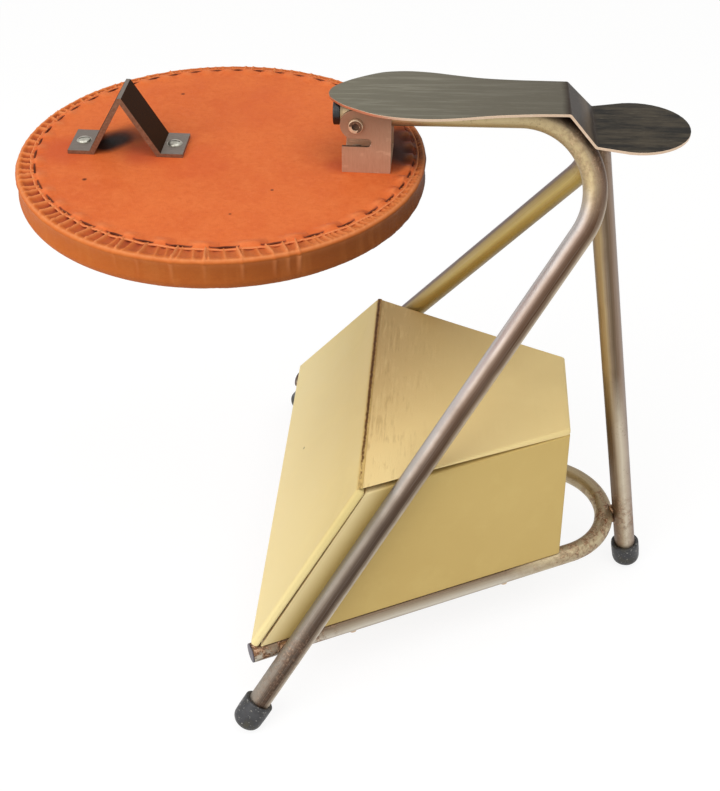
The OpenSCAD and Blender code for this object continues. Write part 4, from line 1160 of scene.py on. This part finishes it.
def uneven(size, level):
    # a random wave round the seat; a larger size makes it finer
    return np.array([noise.noise(Vector((math.cos(a) * size, math.sin(a) * size, level))) for a in rad])


def facing(angle):
    # 1 at an angle, falling to 0 a quarter turn away
    return np.clip(np.cos(rad - math.radians(angle)), 0, 1)


def turned(fromAngle):
    # each direction's angle from another one, -180 to 180
    return (deg - fromAngle + 180) % 360 - 180


def stitchPlan():
    # the middle and the width of each stitch with the gap after it, in degrees; 0 is the hinge side, 270 the front
    draw = random.Random(lacing["seed"])
    angles, sizes = zip(*lacing["pitch"])
    first, plan, angle = lacing["firstStitch"], [], lacing["firstStitch"]
    while angle < first + 357:
        pitch = float(np.interp(angle % 360, angles, sizes)) * draw.uniform(0.96, 1.04)
        plan.append((angle, pitch))
        angle += pitch
    scale = 360 / (angle - first)
    return [((first + (a - first) * scale) % 360, p * scale) for a, p in plan]


def pleats():
    # angle, height, lean and length down the side of each gathered ridge
    draw = random.Random(seat["seed"])
    rows, angle = [], 0.0
    while angle < 360:
        lean = draw.uniform(-1.0, 1.0)
        steps, heights, downs = next(span[1:] for span in gather["spans"] if angle < span[0])
        step, height = draw.uniform(*steps), draw.uniform(*heights)
        down = draw.uniform(*downs) if downs else 0.0
        if abs(angle - gather["bigFold"]) > 2.5:
            rows.append((angle, height, lean, down))
        angle += step
    rows += [(a, draw.uniform(0.85, 1.15), draw.uniform(-1.2, 1.2), draw.uniform(0.3, 0.8))
             for a in gather["frontRidges"]]
    return sorted(rows + [(gather["bigFold"], 1.35, 1.2, 1.0)])


stitches, ridges = stitchPlan(), pleats()


def lacePlace(rad, radius, share=1.0):
    # a place on the laced ring, which sits a little off the seat's centre
    radius = radius + share * lacing["bulge"] * np.clip(np.cos(rad - lacing["bulgeAt"]), 0, 1) ** 2
    return (lacing["shiftX"] * share + radius * np.cos(rad),
            lacing["shiftY"] * share + radius * lacing["squeeze"] * np.sin(rad))


def laceEdge():
    # how far the laced panel's edge lies from the seat's centre
    x, y = lacePlace(rad, lacing["radius"] + lacing["toEdge"])
    return np.interp(rad, np.arctan2(y, x) % (2 * math.pi), np.hypot(x, y), period=2 * math.pi)


def gathers(share):
    # height of the ridges and depth of the hollows between them, from the lacing, 0, out to the rim, 1
    table = np.array([(angle + lean * (1 - share), height) for angle, height, lean, down in ridges])
    table[:, 0] %= 360
    table = table[np.argsort(table[:, 0])]
    table = np.concatenate([table[-1:] - [360, 0], table, table[:1] + [360, 0]])
    at = np.clip(np.searchsorted(table[:, 0], deg, side="right"), 1, len(table) - 1)
    left, right = table[at - 1], table[at]
    gap = np.maximum(right[:, 0] - left[:, 0], 0.2)
    t = np.clip((deg - left[:, 0]) / gap, 0, 1)
    away = np.minimum(t, 1 - t) * np.radians(gap) * gather["ringRadius"]
    rise = np.where(t < 0.5, left[:, 1], right[:, 1]) * np.exp(-(away / gather["ridgeWidth"]) ** 2)
    return rise, np.sin(math.pi * t) ** 0.7 * np.clip(gap / 2.4, 0.3, 1)


def sideFolds():
    # what of the ridges runs on down the side of the cover
    total = np.zeros_like(deg)
    for angle, height, lean, down in ridges:
        d = turned(angle)
        total = np.maximum(total, down * height * np.exp(-np.where(d < 0, d / 0.75, d / 0.5) ** 2))
    return total


def ringMesh(name, rings, lowZ, highZ, **values):
    # closes rings of points into one skin; values holds lists of an attribute's values for each ring
    count, total, last = len(rad), len(rad) * len(rings), len(rad) * (len(rings) - 1)
    faces = bandFaces(len(rings), count)
    faces += [((j + 1) % count, j, total) for j in range(count)]
    faces += [(last + j, last + (j + 1) % count, total + 1) for j in range(count)]
    points = np.concatenate([*rings, [seatCentre(lowZ), seatCentre(highZ)]])
    piece = makeObject(name, points.tolist(), faces)
    pointValues(piece, **{key: np.concatenate([*lists, [0, 0]]) for key, lists in values.items()})
    return outward(piece)


padding = {"voxel": 5 * mm, "pressure": 4.0, "frames": 20, "cap": 3.5 * mm, "hold": 393.5 * mm, "fade": 9 * mm}


def swell(piece):
    # puffs the padded side in a cloth simulation on a coarse copy, then carries the movement over
    coarse = place("coarseCushion", piece.data.copy())
    remesh = coarse.modifiers.new("Remesh", "REMESH")
    remesh.mode, remesh.voxel_size = "VOXEL", padding["voxel"]
    settle(coarse)
    start = np.array([v.co for v in coarse.data.vertices])
    held = coarse.vertex_groups.new(name="held")
    for k, p in enumerate(start):
        hold = float(softStep(padding["hold"] - padding["fade"], padding["hold"], p[2]))
        if hold > 0:
            held.add([k], hold, "REPLACE")
    cloth = coarse.modifiers.new("Cloth", "CLOTH")
    cloth.settings.use_pressure = True
    cloth.settings.uniform_pressure_force = padding["pressure"]
    cloth.settings.effector_weights.gravity = 0
    cloth.settings.vertex_group_mass = "held"
    cloth.point_cache.frame_start, cloth.point_cache.frame_end = 1, padding["frames"]
    for k in range(1, padding["frames"] + 1):
        bpy.context.scene.frame_set(k)
    graph = bpy.context.evaluated_depsgraph_get()
    moved = coarse.evaluated_get(graph).to_mesh()
    shift = np.array([v.co for v in moved.vertices]) - start
    coarse.evaluated_get(graph).to_mesh_clear()
    bpy.context.scene.frame_set(1)
    size = np.linalg.norm(shift, axis=1, keepdims=True)
    shift *= np.minimum(1, padding["cap"] / np.maximum(size, 1e-9))
    tree = KDTree(len(start))
    for k, p in enumerate(start):
        tree.insert(p, k)
    tree.balance()
    for vertex in piece.data.vertices:
        if vertex.co.z > padding["hold"]:
            continue
        total, weight = Vector(), 0.0
        for spot, index, distance in tree.find_n(vertex.co, 5):
            near = 1 / (distance + 0.5 * mm) ** 2
            total += Vector(shift[index]) * near
            weight += near
        vertex.co += total / weight
    bpy.data.objects.remove(coarse)
    print("cushion padded, moved up to", round(float(size.max()) / mm, 1), "mm before the cap")


def makeCushion():
    # the cover, gathered over the board's edge, down its side and round the padded seat
    r, top, crestAt = seat["radius"], seat["top"], gather["crest"]
    inner, long = laceEdge() - 3.2 * mm, sideFolds()
    coarse, small, broad = uneven(14, 0), uneven(60, 5), uneven(6, 9)
    rightSide = facing(330)
    rings, fold, wear, beside = [], [], [], []

    def ring(q, z, folds=0.0, bareAndLit=0.0, down=0.0):
        # q is the radius, down how far the side folds push it out; folds darkens with painted shade in the hollows, and
        # the value after it lightens with wear and a painted highlight
        wide = q + down * (long * 0.95 + coarse * 0.35 + broad * 0.25) * mm
        onSide = np.mean(q) > 149 * mm
        # beside marks the side, and a little of the padded underside, for the painted shade round to the hinge
        padded = 0.3 * float(not onSide and np.mean(z) < top - 3 * mm)
        beside.append(softStep(top - 0.2 * mm, top - 2.4 * mm, z + 0 * rad) * float(onSide) + padded)
        rings.append(onSeat(wide * np.cos(rad), wide * np.sin(rad), z + 0 * rad))
        fold.append(np.clip(folds + 0 * rad, 0, 1))
        wear.append(np.clip(bareAndLit + 0 * rad, 0, 1))
    for share in (0.9, 0.97, 1.0):
        ring(inner * share, top - seat["hidden"])
    for k in range(1, 18):
        # the gathers, from under the panel's edge out to the rim
        share = k / 17
        rise, hollow = gathers(share)
        floor = top - 0.1 * mm - gather["depth"] * hollow * (1 - float(softStep(0.62, 1.0, share)) * 0.75)
        lift = gather["rise"] * rise * (0.55 + 0.45 * math.sin(math.pi * min(1, share * 0.62 + 0.1)))
        climb = 0.75 * mm * float(softStep(0.7, 1.05, share)) + 0.16 * mm * uneven(95, share * 9)
        # painted shade in the hollows between the ridges, weaker on the right side, and a painted highlight on the
        # ridges, mixed with wear and lighter on the right
        dark = hollow * (0.66 - 0.3 * share) * float(softStep(1.08, 0.8, share)) * (1 - 0.7 * rightSide)
        dark = dark + hollow ** 2 * math.exp(-((share - 0.14) / 0.12) ** 2) * (0.5 - 0.1 * rightSide)
        ring(inner + (crestAt - 1.4 * mm - inner) * share,
             np.maximum(floor + lift + climb, seat["under"] + 0.08 * mm),
             dark * (1 - np.clip(rise * 1.6, 0, 0.9)),
             np.clip(rise * 1.1, 0, 0.7) + 0.22 * rightSide * (1 + small))
    rise, hollow = gathers(1.0)
    start = crestAt - 0.9 * mm
    for k in range(1, 10):
        # over the rim, with a painted highlight along its crest
        a = math.pi / 2 * (k / 9) ** 0.9
        crest = math.exp(-((a - 0.45) / 0.42) ** 2)
        z = top + 0.25 * mm - 2.2 * mm * (1 - math.cos(a)) + crest * (0.45 + 0.2 * coarse + 0.18 * small) * mm
        z = z + (rise * 0.5 - hollow * 0.25) * mm * (1 - k / 9)
        ring(start + (r - start) * math.sin(a), z, 0.0, crest * (0.72 + 0.25 * small), k / 9)
    for k in range(1, 17):
        # down the side, drawn in a little at its middle, with a painted highlight on its folds and just under the rim
        fade = max(0.0, 1 - (k / 16) ** 1.6)
        ring(r - seat["drawIn"] * math.sin(math.pi * k / 16) ** 0.7,
             seat["sideTop"] + (seat["sideLow"] - seat["sideTop"]) * k / 16, 0.0,
             np.clip(long - 0.2, 0, 1) * fade * 0.5 + 0.12 * math.exp(-(k / 3) ** 2), fade)
    e, crownTop = seat["edgeRadius"], seat["sideLow"] - seat["edgeRadius"]
    for k in range(1, 11):
        a = math.pi / 2 * k / 10
        ring(r - e + e * math.cos(a), seat["sideLow"] - e * math.sin(a))
    for share in (0.975, 0.945, 0.905, 0.86, 0.8, 0.73, 0.65, 0.56, 0.46, 0.35, 0.24, 0.12):
        ring((r - e) * share, crownTop - seat["crown"] * (1 - share * share))
    cushion = ringMesh("seatCushion", rings, top - seat["hidden"], crownTop - seat["crown"], fold=fold, wear=wear,
                       beside=beside)
    swell(cushion)
    fit(cushion, "seat", "tan_leather", [paints["leather"]], "seat_cover", "seat_pad")


# where the panel's rings lie, in mm in from its edge, and how far the first ones lie under its top; the first ones also
# give how much its cut edge is lightened, for wear and a painted highlight, and how much painted shade lies under it
panelSheet = {"under": ((6.0, 1.5, 0.0, 0.0), (1.6, 1.5, 0.0, 0.0), (0.5, 1.4, 0.2, 0.35), (0.0, 0.95, 0.5, 0.1),
                        (0.05, 0.3, 0.9, 0.0)),
              "over": (0.35, 0.8, 1.3, 1.8, 2.2, 2.6, 2.95, 3.3, 3.65, 4.0, 4.4, 4.9, 5.5, 6.2, 7.0, 8.0, 9.0, 10.0,
                       11.0, 12.0, 13.0, 14.5, 17, 21, 28, 40, 60, 85, 108, 126, 138),
              "bareAndLit": ((0.5, 0.95), (1.0, 0.45), (1.5, 0.12))}


def makePanel():
    # the flat leather laced over the gathered rim
    over = gathers(0.1)[0]
    inStitch, gapNear, gapWide = 0 * rad, 0 * rad, 0 * rad + 1
    for angle, pitch in stitches:
        half = pitch * lacing["share"] / 2
        inStitch = np.maximum(inStitch, softStep(half + 0.3, half - 0.3, np.abs(turned(angle))))
        fromGap = turned(angle + pitch / 2)
        mine = np.abs(fromGap) < pitch * 0.6
        gapNear = np.where(mine, fromGap, gapNear)
        gapWide = np.where(mine, pitch * (1 - lacing["share"]), gapWide)
    # fuller between the stitches on the hinge side
    hingeSide = facing(335)
    full, outer = 1.3 + 1.2 * hingeSide, lacing["radius"] + lacing["toEdge"]
    pulled = (0.5 - 0.35 * hingeSide) * np.exp(-(gapNear / (gapWide * 0.9)) ** 2)
    edge = outer + ((0.45 - 0.3 * hingeSide) * uneven(9, 3) + 0.2 * uneven(45, 1) - pulled + 0.2) * mm
    rings, fold, wear = [], [], []

    def ring(inset, drop=0.0, bareAndLit=0.0, dark=0.0):
        # inset and drop are in mm; tufts, grooves under the thread and the lip fade out away from the lacing
        fade = float(softStep(60, 14, inset))
        fromLace = lacing["toEdge"] / mm - inset
        groove, sag = math.exp(-(fromLace / 0.95) ** 2), math.exp(-(fromLace / 3.2) ** 2)
        tuftReach = float(softStep(13, 6.0, inset) * softStep(1.0, 5.0, inset))
        tuft = np.exp(-(gapNear / (gapWide * 0.75 + 0.3)) ** 2) * (tuftReach + 0.25 * sag) * (1 - 0.3 * groove)
        lip = math.exp(-((inset - 0.3) / 1.5) ** 2) * (0.15 + np.clip(over, 0, 1.1) * (0.9 - 0.6 * hingeSide))
        raised = lip + tuft * full * 0.95 - groove * inStitch * 0.75 - sag * inStitch * 0.25
        x, y = lacePlace(rad, edge * fade + outer * (1 - fade) - inset * mm, fade)
        rings.append(onSeat(x, y, seat["top"] + (raised * float(drop < 1.45) - drop) * mm))
        # painted shade in the slits under the thread and on the tufts' shaded sides, and a painted highlight on the
        # tufts' crowns, mixed with wear
        shaded = tuftReach * hingeSide * np.exp(-((gapNear - gapWide * 0.75) / (gapWide * 0.4)) ** 2)
        slit = math.exp(-(fromLace / 0.62) ** 2) * softStep(0.15, 0.5, inStitch)
        fold.append(np.clip(slit * 0.82 + sag * inStitch * 0.12 + shaded * 0.2 + dark, 0, 1) + 0 * rad)
        crown = tuft * np.exp(-((gapNear + gapWide * 0.3) / (gapWide * 0.6)) ** 2)
        wear.append(np.clip(bareAndLit + crown * 0.3, 0, 1) + 0 * rad)
    for values in panelSheet["under"]:
        ring(*values)
    for inset in panelSheet["over"]:
        ring(inset, 0.0, next((bareAndLit for limit, bareAndLit in panelSheet["bareAndLit"] if inset < limit), 0.0))
    panel = ringMesh("seatPanel", rings, seat["under"], seat["top"], fold=fold, wear=wear)
    fit(panel, "seat", "tan_leather_flat", [paints["flatLeather"]], "seat_underlay")


def makeStitches():
    # one flat thread for each stitch, dipping into the leather at both ends
    draw = random.Random(lacing["seed"] + 1)
    spots, reach, lean, along = [], [], [], []
    for angle, pitch in stitches:
        a = math.radians(angle)
        x, y = lacePlace(a, lacing["radius"] + draw.uniform(-1, 1) * lacing["wander"])
        spots.append(onSeat(np.array(x), np.array(y), np.array(seat["top"] - lacing["sunk"])))
        reach.append(math.radians(pitch) * lacing["radius"] * lacing["share"] * draw.uniform(0.9, 1.05))
        lean.append(math.radians(draw.uniform(-5, 5)))
        along.append((-math.sin(a), math.cos(a) * lacing["squeeze"], 0))
    holder = makeObject("laceStitches", spots, [])
    pointValues(holder, reach=reach, lean=lean, along=along)
    tree = Tree("laceStitches", Thread=lacing["thread"], Rise=lacing["rise"], Up=tuple(seatUp),
                Material=paints["thread"])
    bow = tree.node("GeometryNodeCurveQuadraticBezier", {}, {
        "Resolution": 10, "Start": (-0.5, 0, 0), "End": (0.5, 0, 0),
        "Middle": tree.xyz(0.0, 0.0, tree.take("Rise") * 2.0)})
    rim = tree.node("GeometryNodeCurvePrimitiveCircle", {}, {"Resolution": 8, "Radius": tree.take("Thread")})
    thread = tree.node("GeometryNodeCurveToMesh", {}, {"Curve": bow, "Profile Curve": rim, "Fill Caps": True})
    thread = tree.node("GeometryNodeSetShadeSmooth", {}, {0: thread})
    turn = tree.node("FunctionNodeAlignRotationToVector", {"axis": "X"}, {"Vector": tree.own("along", "FLOAT_VECTOR")})
    turn = tree.node("FunctionNodeAlignRotationToVector", {"axis": "Z", "pivot_axis": "X"},
                     {"Rotation": turn, "Vector": tree.take("Up")})
    piece = tree.run(holder, thread, Rotation=tree.spun(turn, tree.own("lean")),
                     Scale=tree.xyz(tree.own("reach"), 1.0, 1.0))
    fit(piece, "seat", "dark_thread", None, "seat_lacing")


makeCushion()
makePanel()
makeStitches()
print("seat made:", len(stitches), "stitches,", len(ridges), "ridges")

bpy.context.scene.view_settings.view_transform = "Standard"
